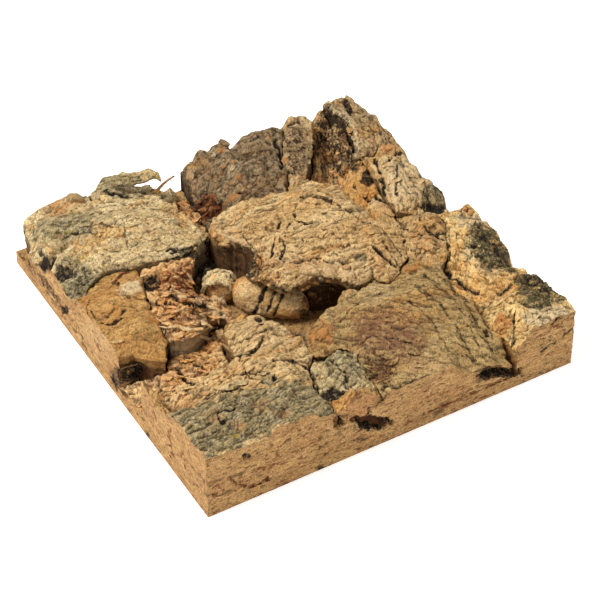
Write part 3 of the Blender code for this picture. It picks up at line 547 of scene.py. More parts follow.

# %% [markdown]
# These are the marks themselves, read off the photograph piece by piece: cracks, rotted holes, raised
# flakes (a negative sink), orange tears, lichen and moss.

# %% Marks of the back and the right
# the two rotted holes are painted dark all through: painted shade inside them
FRONT_HOLE, RIGHT_HOLE = spot((374, 420), (22, 9), dark=1.0), spot((501, 373), (20, 5), dark=1.0)
MARKS = {
    "grey_plate": [
        spot((66, 228), (36, 15), -10, 0.6, dark=0.3, lichen=0.4),
        crack(1.4, 1.3, 0.9, (62, 237), (76, 233.5), (90, 231.5)),
        crack(1.1, 0.6, 0.35, (123, 216), (126, 237), (128.5, 249), (136, 253), (142.5, 256)),
        spot((120, 237), (4, 2.5), warm=0.7), spot((76, 243), (4, 2), warm=0.6),
        spot((56, 244), (5.5, 3.5), sink=-1.8), hole((46, 261), (8, 10), 3, 0.95),
        hole((64, 272), (10, 8), 2, 0.8), spot((76, 280), (22, 19), 35, 0.6, dark=0.5, lichen=0.5),
        stain((62, 206), (22, 7), -24, warm=0.55, pale=0.4),
        spot((77, 197), (8, 5), soft=0.4, lichen=0.9), spot((77.5, 196), (4.5, 3), sink=-2.2),
        spot((47, 208.6), (2.8, 1.8), sink=-1.6), spot((70, 231.5), (3, 1.2), yellow=0.8),
        spot((84, 258), (2.2, 1.4), yellow=0.9), spot((104, 264), (1.8, 1), yellow=0.9),
        spot((87, 288), (1.8, 1.2), yellow=0.9),
        spot((152, 230), (15, 10), soft=0.7, warm=0.25, pale=0.35),
        stain((164, 256), (29, 8), -10, pale=0.45), stain((186, 254), (11, 11), dark=0.4),
        crack(2.2, 2.2, 1, (168, 252), (184, 248), (197, 244)),
        crack(2, 2.2, 0.95, (166, 259), (180, 256), (196, 251)),
        crack(2.4, 2.4, 1, (172, 266), (184, 263), (196, 258)),
        crack(1, 0.6, 0.4, (100, 207), (140, 205), (178, 216)),
        crack(1.1, 0.8, 0.5, (52, 226), (90, 222), (112, 226))],
    "curled_peel": [
        spot((125, 186), (38, 14), soft=0.4, dark=0.3, lichen=0.3),
        crack(2.6, 2.6, 1, (106, 193), (118, 194.5), (131, 196)), spot((157, 176), (5, 3), yellow=0.45),
        crack(1.1, 0.8, 0.5, (98, 186), (122, 180), (150, 173)),
        crack(1, 0.8, 0.5, (96, 191), (118, 187), (140, 181))],
    "low_back_piece": [
        hole((202, 243), (8, 9), 2, 1), spot((169, 198), (10, 7), sink=-3, lichen=0.7, pale=0.3),
        spot((186, 208), (8, 6), rust=0.7)],
    "dark_back_chunk": [
        stain((192, 181), (7, 17), warm=0.3, pale=0.35), spot((224, 140), (5, 3), sink=-0.8),
        spot((221, 151), (4, 2.4), warm=0.65), spot((239, 177), (5, 3), warm=0.65),
        spot((231, 168), (4, 2.4), pale=0.55), spot((212, 155), (3, 2), pale=0.55),
        line((268, 135), (267, 146), width=1.6, warm=0.7),
        crack(2.6, 3, 1, (276, 138), (279, 152), (282, 168)),
        spot((209, 206), (13, 15), sink=4, rust=0.9, dark=0.35),
        line((222, 208), (240, 192), width=2.6, sink=-0.8, warm=0.75),
        hole((239.5, 192), (2.6, 2.2), 2.5, 1), hole((293, 184), (4, 4), 4, 1),
        spot((255, 160), (22, 20), soft=0.7, dark=0.25)],
    "upright_flake": [
        line((304, 132), (307, 150), (306, 178), width=1.5, sink=-0.8, pale=0.8),
        spot((289, 117), (3.5, 3), sink=-1.5, pale=0.7), spot((301, 117), (4, 3), sink=-1.5, pale=0.7),
        crack(2, 1.2, 0.8, (288, 123), (298, 124)), spot((284, 160), (3, 4), warm=0.8),
        line((289, 174), (298, 178), (306, 176), width=2.4, sink=-0.8, warm=0.7),
        spot((296, 148), (13, 30), soft=0.3, dark=0.5, purple=0.5)],
    "hollow_trough": [
        spot((333, 143), (24, 40), -12, 0.4, dark=0.62, purple=0.3),
        line((320, 100), (329, 113), (342, 119), (356, 129.5), (357, 149),
             width=4, sink=-1.6, warm=0.4, pale=0.7), stain((330, 168), (13, 8), pale=0.3),
        crack(1.2, 1, 0.9, (322, 120), (330, 150)), crack(1.2, 1, 0.9, (338, 130), (342, 165))],
    "back_corner_chunk": [
        spot((338, 136), (15, 30), -24, 0.25, dark=0.85),
        line((326, 98), (332, 111), (343, 118), (356, 129.5), (357, 150), (350, 172),
             width=3.6, sink=-1.2, warm=0.2, pale=0.95), hole((348, 106), (4.5, 8), 1.5, 0.9),
        spot((384, 131), (2, 1.4), pale=0.9), spot((360, 118), (10, 14), soft=0.7, dark=0.3),
        stain((372, 140), (9, 7), warm=0.3, pale=0.3)],
    "right_back_chunk": [
        spot((404, 178), (24, 26), soft=0.6, pale=0.7),
        spot((388, 146), (13, 11), soft=0.4, sink=-1.5, warm=0.5), hole((392.5, 142), (3, 2.6), 2, 0.9),
        crack(1.8, 2, 0.95, (390, 161), (396, 156), (402, 152)), stain((386, 180), (11, 17), pale=0.35),
        crack(3, 2, 0.95, (376, 161), (380, 176), (384, 193)),
        stain((409, 181), (12, 19), pale=0.3, purple=0.25),
        spot((433, 194), (13, 13), soft=0.4, dark=0.45, lichen=0.6), hole((434, 207), (13, 4), 3, 1),
        crack(1.6, 1.6, 0.6, (396, 165), (398, 195))],
    "upper_wedge_flake": [
        spot((366, 160), (8, 6), sink=-1.5, pale=0.4), hole((367, 177), (7, 9), 1.5, 0.9),
        spot((369, 174), (2.2, 1.3), pale=1), spot((364, 181), (1.6, 1.1), pale=1),
        spot((354, 167), (4, 6), dark=0.7), crack(1.6, 1.4, 0.8, (352, 184), (372, 203))],
    "lower_wedge_flake": [
        crack(2.2, 2.5, 1, (374, 196), (388, 203), (402, 205)), spot((375, 205), (2.4, 1.4), pale=1)],
}
print(sum(len(marks) for marks in MARKS.values()), "marks at the back and the right")

# %% [markdown]
# The middle has the longest cracks. The front has the scar, the dark stripes and the moss.

# %% Marks of the middle and the front
MARKS |= {
    "centre_chunk": [
        spot((214, 231), (7, 12), -10, sink=-1.5, warm=0.3),
        line((216, 230), (234, 240), (253, 251), width=3.4, sink=-0.8, pale=0.6, warm=0.35),
        # painted shade in the cave under the chunk's left tip
        spot((232, 264), (30, 18), soft=0.25, dark=0.75),
        crack(2.6, 0, 1, (208, 251), (224, 254), (242, 255)),
        crack(2, 0, 1, (212, 259), (226, 262), (244, 264)), crack(2, 0, 1, (216, 267), (242, 271)),
        crack(1.9, 1.8, 0.9, (281, 220), (276, 237), (272, 257)),
        crack(1.4, 1.2, 0.8, (289, 222), (284, 240), (281, 258)),
        crack(1.8, 1.8, 0.9, (294, 215), (305, 224), (313, 222)),
        crack(1.2, 1, 0.8, (241, 235), (247, 243), (252, 249)), spot((254, 248), (1.8, 1.4), dark=0.9),
        spot((262, 252), (1.8, 1.4), dark=0.9), spot((258, 263), (7, 8), sink=-1, warm=0.75),
        spot((322, 294), (26, 17), soft=0.4, warm=0.5, rust=0.3),
        line((298, 291), (307, 287), (315, 279), width=5, warm=0.8), spot((321, 282), (3, 6), pale=0.8),
        spot((328.5, 284), (3, 4.5), pale=0.6, warm=0.4), spot((314, 293), (4, 3.6), warm=0.9),
        crack(1.2, 1, 0.75, (338, 202), (354, 215), (371, 225)),
        crack(1.2, 1, 0.75, (322, 228), (340, 238), (355, 249)),
        crack(1.1, 0.9, 0.6, (300, 240), (318, 246), (345, 258)),
        crack(1.1, 0.9, 0.6, (340, 185), (356, 198), (388, 222)),
        crack(2.4, 2.6, 1, (374, 246), (384, 257), (394, 266)),
        spot((379, 261), (14, 12), 30, 0.4, warm=0.35, rust=0.25),
        crack(1.1, 1.1, 0.6, (382, 240), (396, 262)), crack(1.1, 1.1, 0.6, (390, 238), (402, 258)),
        line((287, 262), (320, 266), (360, 276), width=11, warm=0.35, pale=0.55, purple=0.2),
        crack(1.6, 1.4, 0.6, (290, 262), (318, 258), (356, 268)),
        # painted shadow under the chunk's front lip, with some rust
        line((258, 279), (290, 290), (330, 293), (362, 286), width=6, sink=1, dark=0.55, rust=0.3),
        spot((360, 258), (7, 6), lichen=0.7, sink=1), spot((228, 222), (20, 11), soft=0.6, pale=0.3),
        line((300, 193), (320, 190), (338, 197), width=2, sink=-1.6, warm=0.25),
        crack(1.6, 1.6, 0.8, (300, 198), (318, 196), (334, 203)),
        crack(1, 0.9, 0.6, (330, 206), (352, 212))],
    "round_chunk": [
        stain((426, 222), (19, 10), purple=0.35), stain((428, 246), (17, 14), warm=0.4),
        crack(1.6, 1.6, 0.9, (420, 218), (425, 228), (444, 240)),
        crack(1.6, 1.6, 0.7, (404, 230), (422, 234), (446, 232)),
        crack(1.1, 1, 0.7, (407, 248), (420, 254))],
    "mossy_chunk": [
        spot((468, 211), (5, 4), sink=-1.2, warm=0.6, rust=0.4), hole((468, 212), (2.2, 1.8), 1.6, 0.8),
        spot((472, 222), (20, 12), 20, 0.4, pale=0.75, purple=0.15),
        spot((490, 247), (27, 20), 42, 0.4, moss=0.85, dark=0.12),
        spot((471, 254), (8, 10), 20, 0.4, pale=0.85),
        line((472, 236), (484, 249), (497, 263), width=3, pale=0.9),
        spot((501, 255), (6, 3.5), 40, pale=0.7),
        line((468, 234), (478, 228), (488, 233), width=5, moss=0.8, dark=0.2),
        spot((484, 239), (5, 3), dark=0.8), spot((495, 249), (3, 6), -30, dark=0.8),
        spot((480, 256), (4, 2), dark=0.7), spot((484, 268), (14, 7), 30, 0.4, pale=0.6, warm=0.3),
        spot((511, 271), (6, 3.5), moss=0.9, yellow=0.2), hole((473, 246), (3, 2.6), 2, 0.9),
        crack(1.1, 1.2, 0.4, (448, 226), (452, 262)),
        crack(1.1, 1.2, 0.4, (455, 222), (460, 268), (470, 286)),
        crack(3, 2.5, 0.95, (445, 273), (462, 282), (476, 292)), stain((462, 285), (14, 5), 25, rust=0.5)],
    "right_front_chunk": [
        RIGHT_HOLE, spot((497, 286), (12, 7), sink=3, dark=0.85, rust=0.3),
        spot((538, 286), (27, 20), 36, 0.4, moss=0.85, dark=0.2),
        spot((520, 279), (9, 6), soft=0.4, moss=0.9), spot((531, 281), (6, 4), 30, dark=0.7),
        spot((546, 291), (5, 3), 30, dark=0.7),
        line((520, 287), (533, 296), (550, 303), width=3, pale=0.8),
        line((534, 277), (546, 286), (556, 296), width=2, pale=0.6),
        spot((546, 315), (25, 11), -8, 0.3, pale=1), stain((497, 297), (16, 11), pale=0.35, warm=0.3),
        spot((502, 325), (9, 12), soft=0.4, warm=0.75, sink=-1),
        crack(1.4, 1.4, 0.7, (514, 300), (512, 345)), crack(1.1, 1, 0.5, (524, 312), (528, 335))],
    "big_brown_chunk": [
        FRONT_HOLE, RIGHT_HOLE,
        line((321, 312), (338, 299), (353, 290), width=5, sink=-0.6, warm=0.4, pale=0.4),
        spot((376, 292), (18, 12), soft=0.6, pale=0.35), spot((411, 268), (9, 4), sink=-0.8, warm=0.7),
        spot((386, 334), (42, 29), 8, 0.7, purple=0.75),
        crack(2.2, 0.6, 0.5, (425, 276), (452, 296), (472, 330), (486, 362)),
        crack(2.2, 0.6, 0.5, (436, 274), (462, 296), (482, 330), (494, 356)),
        crack(2.2, 0.6, 0.5, (418, 286), (444, 308), (462, 338), (474, 362)),
        crack(2.2, 0.6, 0.5, (452, 278), (474, 302), (492, 336)),
        crack(2.2, 0.6, 0.5, (410, 300), (432, 322), (448, 350)),
        crack(1.3, 1.2, 0.9, (384, 317), (392, 318), (400, 319)),
        crack(1.3, 1.2, 0.9, (407, 354), (421, 355)), hole((485, 333), (3, 3), 2, 0.9),
        spot((391, 303), (1.8, 1.2), pale=1), spot((406.6, 311.7), (2, 1.2), pale=1),
        spot((405, 297), (1.5, 1.1), pale=1), spot((404, 311), (1.5, 1), pale=1),
        stain((424, 365), (30, 9), -6, warm=0.3, pale=0.35),
        spot((380, 368), (14, 17), soft=0.45, sink=1.4, rust=0.6, dark=0.5),
        stain((320, 335), (14, 17), sink=-0.8, warm=0.6),
        line((382, 389), (406, 383), (430, 377), width=4, dark=0.6, rust=0.3),
        spot((400, 390), (7, 5), dark=0.9), crack(1.2, 1, 0.5, (340, 322), (352, 306), (372, 298)),
        crack(1.2, 1, 0.5, (352, 345), (380, 336), (412, 342))],
    "grey_knob": [
        FRONT_HOLE, spot((343, 366), (20, 20), soft=0.7, lichen=0.5),
        hole((334, 396), (15, 7), 1.6, 0.95), spot((352, 372), (4, 8), sink=1, pale=0.5),
        crack(1.6, 1.5, 0.8, (330, 360), (345, 372), (352, 390))],
    "front_wedge": [FRONT_HOLE, stain((360, 405), (20, 14), warm=0.3)],
}
print(sum(len(marks) for marks in MARKS.values()), "marks so far")

# %% [markdown]
# The left side is the most torn one: the orange patch, the crumbling layers and the ridged corner.

# %% Marks of the left side
MARKS |= {
    "amber_plate": [
        line((126, 309), (122, 318), (115, 324), (100, 322), (91, 312),
             width=1.4, sink=1.4, dark=0.6, rust=0.5),
        spot((106, 306), (16, 15), soft=0.2, sink=-0.8, warm=0.2), hole((105, 319), (2.4, 1.6), 0.8, 0.6),
        spot((116, 292), (2, 1.2), pale=1), spot((117, 285), (3, 2.4), dark=0.7),
        spot((130, 289), (11, 8), soft=0.25, sink=-0.8, pale=0.85),
        line((113, 283), (124, 273), (138, 263), width=3.4, sink=1, rust=0.95, dark=0.3),
        crack(1.4, 1, 0.4, (90, 300), (84, 318), (92, 345))],
    "rust_chunk": [
        line((176, 350), (196, 347), (214, 341), width=17, pale=0.85, warm=0.2),
        spot((188, 304), (36, 26), soft=0.4, rust=0.45, dark=0.1),
        spot((151, 282), (11, 7), sink=3, dark=0.9, rust=0.4), stain((178, 281), (26, 14), rust=0.8),
        crack(2, 2.2, 1, (170, 296), (186, 302), (205, 307)),
        crack(1.8, 2, 0.95, (165, 303), (180, 309), (198, 314)),
        crack(1.6, 1.8, 0.9, (176, 290), (192, 297), (212, 300)),
        spot((180, 297), (9, 3), 15, 0.15, sink=-2.2, pale=0.85),
        spot((198, 303), (7.5, 3.4), -12, 0.15, sink=-2.2, pale=0.85),
        spot((223, 301), (7.5, 3.4), 10, 0.15, sink=-2.2, pale=0.85),
        spot((194, 320), (15, 6), soft=0.4, purple=0.6, pale=0.3, sink=-0.8),
        line((203, 336), (206, 318), (213, 309), (222, 314), (226, 334),
             width=3.6, sink=-2.2, pale=0.75), spot((216, 332), (5.5, 7), soft=0.2, sink=3.5, dark=0.95),
        spot((148, 326), (17, 11), soft=0.2, sink=-1.2, pale=0.55, warm=0.3),
        spot((148.5, 322), (6.5, 2.2), 8, sink=1.4, rust=0.9, dark=0.3),
        crack(1.4, 1.2, 0.8, (159, 320), (162, 326), (165, 331)),
        spot((204, 337), (18, 3), -6, 0.2, sink=-1.5, pale=0.8),
        line((204, 340), (216, 344), (230, 347), width=1.8, purple=0.8, sink=0.8, dark=0.3),
        stain((190, 268), (12, 6), warm=0.6), crack(1.6, 1.6, 0.8, (140, 300), (160, 306), (172, 318)),
        crack(1.6, 1.8, 0.9, (150, 338), (172, 330), (190, 330))],
    "left_hollow_piece": [
        spot((168, 362), (34, 20), soft=0.4, rust=0.3, dark=0.2),
        spot((136, 364), (25, 10), 8, 0.4, sink=2, dark=0.75),
        spot((172, 372), (8, 10), sink=-2, pale=0.3, warm=0.3),
        crack(2.6, 2.4, 1, (179, 372), (186, 380), (193, 384)),
        crack(2.2, 2.2, 1, (196, 364), (206, 370)),
        crack(1.4, 1.5, 0.8, (166, 346), (182, 352), (196, 366)),
        crack(1.3, 1.4, 0.8, (172, 342), (190, 348), (204, 360)),
        spot((152, 381), (14, 7), soft=0.3, sink=-1.6, pale=0.7, warm=0.4),
        hole((213, 373), (3, 2.6), 2, 1)],
    "left_edge_piece": [stain((152, 381), (14, 8), pale=0.6, warm=0.5)],
    # both low pieces lie under the centre chunk's overhang and are painted dark all over: painted shade
    "inner_floor_piece": [spot((222, 262), (40, 34), dark=0.85)],
    "inner_front_piece": [spot((282, 300), (60, 40), dark=0.85)],
    "front_left_chunk": [
        line((192, 423), (240, 416), (290, 402), (322, 406), width=36, lichen=0.9),
        crack(1.8, 2, 0.9, (220, 362), (236, 357), (253, 352), (264, 339)),
        crack(1.9, 2.2, 0.95, (274, 359), (292, 360), (308, 367), (316, 387)),
        hole((259, 320), (4, 3), 2.4, 0.95), hole((274, 378), (3, 2.6), 2, 0.95),
        spot((243, 421), (74, 23), -29, 0.16, lichen=0.85, dark=0.2),
        spot((196, 416), (14, 10), soft=0.4, lichen=0.9),
        spot((285, 394), (22, 11), -20, 0.3, lichen=0.9),
        spot((212, 436), (14, 12), 30, 0.4, lichen=0.9, moss=0.2),
        crack(1.6, 1.6, 1, (219.5, 421), (218, 412), (226, 409), (234, 407)),
        hole((222, 421), (2.4, 3), 1, 1), spot((200, 427), (1.7, 1.1), pale=1),
        spot((211, 433), (1.7, 1.1), pale=1), spot((235, 437), (3, 2), yellow=0.8),
        crack(1.1, 1, 0.6, (230, 345), (250, 336), (272, 330)),
        crack(1.4, 1.6, 0.8, (226, 378), (246, 372), (268, 372)),
        crack(1.6, 1.6, 0.8, (192, 402), (214, 394), (238, 388)),
        crack(1.2, 1, 0.6, (240, 356), (246, 374), (262, 382)),
        spot((285, 340), (14, 16), soft=0.7, pale=0.3), spot((242, 372), (16, 8), soft=0.6, warm=0.3),
        stain((214, 416), (10, 6), warm=0.4), stain((262, 405), (13, 7), warm=0.35, pale=0.2),
        stain((239, 428), (9, 6), warm=0.45), stain((298, 398), (10, 5), dark=0.4),
        stain((205, 429), (9, 5), pale=0.35, warm=0.2), stain((252, 436), (10, 4), rust=0.3),
        stain((282, 413), (9, 4), warm=0.4), stain((228, 399), (10, 5), dark=0.35),
        stain((276, 391), (9, 4), pale=0.4), stain((248, 414), (6, 4), dark=0.4)],
}
print(sum(len(marks) for marks in MARKS.values()), "marks on the tops")

# %% [markdown]
# Marks on the sawn sides, for bark and board alike: the two rotted holes, the joints and the stains.

# %% Marks of the sawn sides
SAWN_MARKS = [
    # the first marks sink the rotted holes into the saw cut and paint them dark: painted shade
    spot((374, 422.5), (18, 5.5), 5, 0.15, sink=13), spot((373, 423), (20, 7), 5, 0.2, dark=1),
    spot((499, 373), (21, 4.5), -6, 0.2, sink=10), spot((499, 374), (24, 6.5), -6, 0.2, dark=0.75),
    spot((340, 422), (5, 4.5), soft=0.2, sink=5, dark=1), spot((358, 405), (22, 13), -32, 0.3, warm=0.35),
    crack(1.4, 0.8, 0.6, (345, 429), (354, 427), (368, 413), (381, 401), (388, 396)),
    hole((244, 456.5), (4.5, 4), 1.8, 0.95), hole((249, 458), (3, 2.4), 1, 0.8),
    line((278, 452), (284, 443), (293, 439), width=1.8, sink=0.8, rust=0.9),
    spot((286, 446), (6, 2.6), -38, purple=0.5),
    line((313, 446.5), (327, 448), width=1.6, sink=0.8, rust=0.8),
    line((321, 440), (325, 440), width=1.4, rust=0.8),
    line((255, 471), (272, 466), (288, 461), width=1.4, sink=0.6, rust=0.8),
    line((230, 480), (238, 484), (247, 489), (258, 484), (269, 479),
         width=1.8, sink=1.2, rust=0.9, dark=0.3), spot((215, 495), (2, 4), 20, sink=0.8, rust=0.9),
    spot((224, 492), (1.6, 4), 10, sink=0.8, rust=0.9),
    spot((219.5, 486), (1.4, 2.4), sink=0.6, rust=0.8),
    line((300, 430), (322, 421), (345, 415), width=2, dark=0.4, rust=0.3),
    crack(1.6, 1, 0.8, (550, 327), (560, 319), (573, 311.5)),
    crack(1.5, 0.8, 0.7, (525, 345.5), (538, 341), (550, 336)),
    crack(1.5, 0.8, 0.6, (542, 351.5), (556, 341), (572, 330)), spot((567, 353), (2, 2.6), dark=0.7),
    line((540, 335), (560, 325), width=1.2, rust=0.7),
    crack(2.2, 1, 0.8, (470, 372), (500, 366), (519, 352)),
    line((400, 428), (440, 408), (480, 391), (520, 374), width=1.5, rust=0.6, sink=0.5),
    line((420, 400), (450, 391), (470, 386), width=1.4, rust=0.6),
    line((432, 412), (446, 406), width=1.4, sink=0.5, rust=0.7), hole((65, 310), (4, 4), 1.2, 0.9),
    line((60, 305), (70, 315), width=1.4, rust=0.9), line((60, 316), (71, 306), width=1.4, rust=0.8),
    line((95, 341), (99, 350), width=1.6, rust=0.8, sink=0.5),
    line((169, 431), (171, 445), (172, 458), width=1.6, sink=0.8, rust=0.9),
    spot((120, 380), (9, 14), -25, sink=1, dark=0.7), spot((119, 385), (2, 3), pale=0.9),
    line((28, 262), (44, 282), (60, 302), width=5, rust=0.35, dark=0.45),
    line((150, 400), (156, 420), (158, 436), width=1.4, rust=0.6),
    line((182, 450), (184, 470), width=1.3, rust=0.6), spot((96, 338), (14, 20), -35, 0.6, pale=0.35)]
print(len(SAWN_MARKS), "marks on the sawn sides")

# %% [markdown]
# How far a point lies inside its outline decides three things: which grid cells belong to the piece,
# how the edge rounds over, and where the wall starts. The outline itself is frayed by shifting every
# point by the same noise for all pieces, so neighbours still fit each other like a broken plate.

# %% Distance to an outline
def fray(x, y):
    """The same small sideways shift for every piece."""
    return (x + 1.7 * lumps(x, y, 9, 901) + 1.0 * lumps(x, y, 4, 902) + 0.5 * lumps(x, y, 2, 905),
            y + 1.7 * lumps(x, y, 9, 903) + 1.0 * lumps(x, y, 4, 904) + 0.5 * lumps(x, y, 2, 906))


def signed_distance(x, y, outline):
    """Distance to the outline in millimetres, below zero inside. It is the least distance to any side,
    and a point is inside if a ray from it crosses the sides an odd number of times. Corners on the saw
    line are first pushed outwards, because there the saw ends the piece and not its outline."""
    corners = np.array(outline, float)
    corners = np.where(np.abs(corners) == HALF, 1.15 * corners, corners)
    nearest, inside = np.full(x.shape, 999.0), np.zeros(x.shape, bool)
    for start, end in zip(corners, np.roll(corners, -1, axis=0)):
        side = end - start
        share = np.clip(((x - start[0]) * side[0] + (y - start[1]) * side[1]) / (side @ side), 0, 1)
        away = np.hypot(x - start[0] - share * side[0], y - start[1] - share * side[1])
        nearest = np.minimum(nearest, away)
        crosses = (start[1] > y) != (end[1] > y)
        inside ^= crosses & (x < start[0] + (y - start[1]) * side[0] / (side[1] or 1))
    return np.where(inside, -nearest, nearest)


def spot_surface(x, y, spots):
    """Height at each point as the mean of the spot heights, each weighted by how near it is."""
    total, weights = np.zeros(x.shape), np.zeros(x.shape)
    for across, up, height in spots:
        weight = 1 / ((x - across) ** 2 + (y - up) ** 2 + SPOT_SOFTNESS**2) ** 2
        total += weight * height
        weights += weight
    return total / weights


def bark_height(x, y, piece, inside, seed):
    """The solid's own surface: spot heights, rounded over at the edges, with lumps along the grain."""
    turn = math.radians(piece["grain"])
    along, across = x * math.cos(turn) + y * math.sin(turn), y * math.cos(turn) - x * math.sin(turn)
    rounding = ROLL_DROP * (1 - np.clip(inside / ROLL_WIDTH, 0, 1)) ** 2
    rounding = rounding * (0.75 + 0.75 * lumps(x, y, 11, 907))
    relief = 0.7 * lumps(along / 2, across, 14, seed) + 0.3 * lumps(along / 2, across, 7, seed + 1)
    return spot_surface(x, y, piece["spots"]) - rounding + piece["relief"] * relief

# %% [markdown]
# One function makes every chunk. The top is a height over a grid in plan. The cells inside the
# outline are kept, their rim is pulled onto the outline, and a wall goes down from the rim to the
# board. Natural walls are rough and draw back a little. Sawn walls stay on the saw line, and only
# pits and holes cut into them. Where decay left a cavity, the wall is pushed back to the far side of
# an ellipsoid, as in the solid.

# %% Cutting a piece out of the grid
PITCH = 0.9  # spacing of the grid in plan, in millimetres
JOINT = 0.3  # how far each piece stays inside its outline
CRISP = 0.12  # height of the first row of a wall, so that paint changes sharply at the arris


def plan_grid(outline):
    """Grid lines counted from the saw line, so that every piece uses the same ones."""
    corners = np.array(outline, float)
    first = np.floor((np.maximum(corners.min(axis=0) - 3, -HALF) + HALF) / PITCH)
    last = np.ceil((np.minimum(corners.max(axis=0) + 3, HALF) + HALF) / PITCH)
    x, y = (np.arange(a, b + 1) * PITCH - HALF for a, b in zip(first, last))
    return np.meshgrid(x, y, indexing="ij")


def whole_region(keep):
    """The largest area of kept cells, without cells that touch only at a corner."""
    for _ in range(6):
        around = np.zeros(keep.shape, int)
        around[1:] += keep[:-1]
        around[:-1] += keep[1:]
        around[:, 1:] += keep[:, :-1]
        around[:, :-1] += keep[:, 1:]
        keep = keep & (around >= 2)
        a, b, c, d = keep[:-1, :-1], keep[1:, :-1], keep[:-1, 1:], keep[1:, 1:]
        pinched = (a & d & ~b & ~c) | (b & c & ~a & ~d)
        keep[:-1, :-1] &= ~pinched
        keep[1:, :-1] &= ~pinched
    return keep


def grown_from(keep, start):
    """The kept cells that can be reached from a starting cell."""
    region = np.zeros(keep.shape, bool)
    region[start] = True
    while True:
        wider = region.copy()
        wider[1:] |= region[:-1]
        wider[:-1] |= region[1:]
        wider[:, 1:] |= region[:, :-1]
        wider[:, :-1] |= region[:, 1:]
        wider &= keep
        if (wider == region).all():
            return region
        region = wider


def rim_of(quads, count):
    """The directed edges that only one quad has, from and to, in the order of the quads."""
    start, end = quads.ravel(), np.roll(quads, -1, axis=1).ravel()
    alone = ~np.isin(start * count + end, end * count + start)
    return start[alone], end[alone]

# %% [markdown]
# Decay hollows, the same as in the solid: the piece, the middle of the ellipsoid, its radii, its turn
# and the way in which the wall is pushed back.

# %% Hollows
INTO_PICTURE = (0.504, 0.864)
FROM_LEFT = (1.0, 0.0)
HOLLOWS = [
    ("centre_chunk", (-17, -9, 22), (35, 17, 27), -42, INTO_PICTURE),
    ("centre_chunk", (8, -34, 22), (26, 16, 26), -10, INTO_PICTURE),
    ("amber_plate", (-142, -32, 22), (14, 18, 17), 0, FROM_LEFT),
]


def push_back(places, middle, radii, turn, way):
    """Moves each place inside the ellipsoid along the way until it meets the far side: the larger root
    of the quadratic |(place - middle + t * way) / radii| = 1."""
    turn = math.radians(turn)
    cos, sin = math.cos(turn), math.sin(turn)
    turned = np.array([[cos, -sin, 0], [sin, cos, 0], [0, 0, 1]])
    offset = (places - np.array(middle, float)) @ turned / np.array(radii, float)
    step = np.array([*way, 0.0]) @ turned / np.array(radii, float)
    a, b, c = step @ step, offset @ step, (offset**2).sum(axis=1) - 1
    reach = (-b + np.sqrt(np.maximum(b * b - a * c, 0))) / a
    return places + np.where(c < 0, reach, 0)[:, None] * np.array([*way, 0.0])

# %% [markdown]
# One piece of bark: its grid is lifted to the height of the bark, its rim is carried down in rows as
# a wall, and the wall is pushed back where the photograph shows a hollow under an edge.

# %% The piece itself
SAWN_ROWS, NATURAL_ROWS = 28, 14


def wall_shares(rows):
    """Shares of the way down: rows that grow wider towards the board."""
    return (np.arange(1, rows + 1) / rows) ** 1.25


def sawn_sides(x, y):
    """Which side of the saw cut each place lies on: -1, 0 or 1 along X and along Y."""
    return (np.where(np.abs(x) > HALF - 0.01, np.sign(x), 0),
            np.where(np.abs(y) > HALF - 0.01, np.sign(y), 0))


def saw_texture(places):
    """How deep the saw cut is pitted: short pits drawn out along the growth lines, and torn crumbs."""
    x, y, z = places.T
    along = x + y
    growth = z + 1.2 * lumps(along, z, 25, 61) + 0.12 * along
    pits = ease(0.45, 0.8, lumps(along / 2.2, growth, 2.4, 62))
    pits *= ease(0.0, 0.6, lumps(along, z, 16, 63))
    crumbs = 0.5 + 0.5 * lumps_in_space(x, y, z, 1.7, 64)
    lines = 1 - ease(0.02, 0.12, np.abs(lumps(along / 6, growth, 8, 65)))
    lines *= ease(0.35, 0.75, lumps(along / 2, z, 15, 66))
    return 0.6 * pits + 0.35 * crumbs + 0.9 * lines, np.clip(0.8 * pits + 0.9 * lines, 0, 1)


def hollows_and_crests(height):
    """How far each point lies below and above its neighbourhood, near and wide, as shares from 0 to 1:
    painted shade darkens the hollows, and a painted highlight lightens the crests."""
    near, wide = softened(height, 1) - height, softened(height, 5) - height
    hollow = np.clip(0.65 * np.clip(near / 0.35, 0, 1) + 0.7 * np.clip(wide / 1.6, 0, 1), 0, 1)
    crest = np.clip(0.6 * np.clip(-near / 0.3, 0, 1) + 0.5 * np.clip(-wide / 1.4, 0, 1), 0, 1)
    return hollow, crest


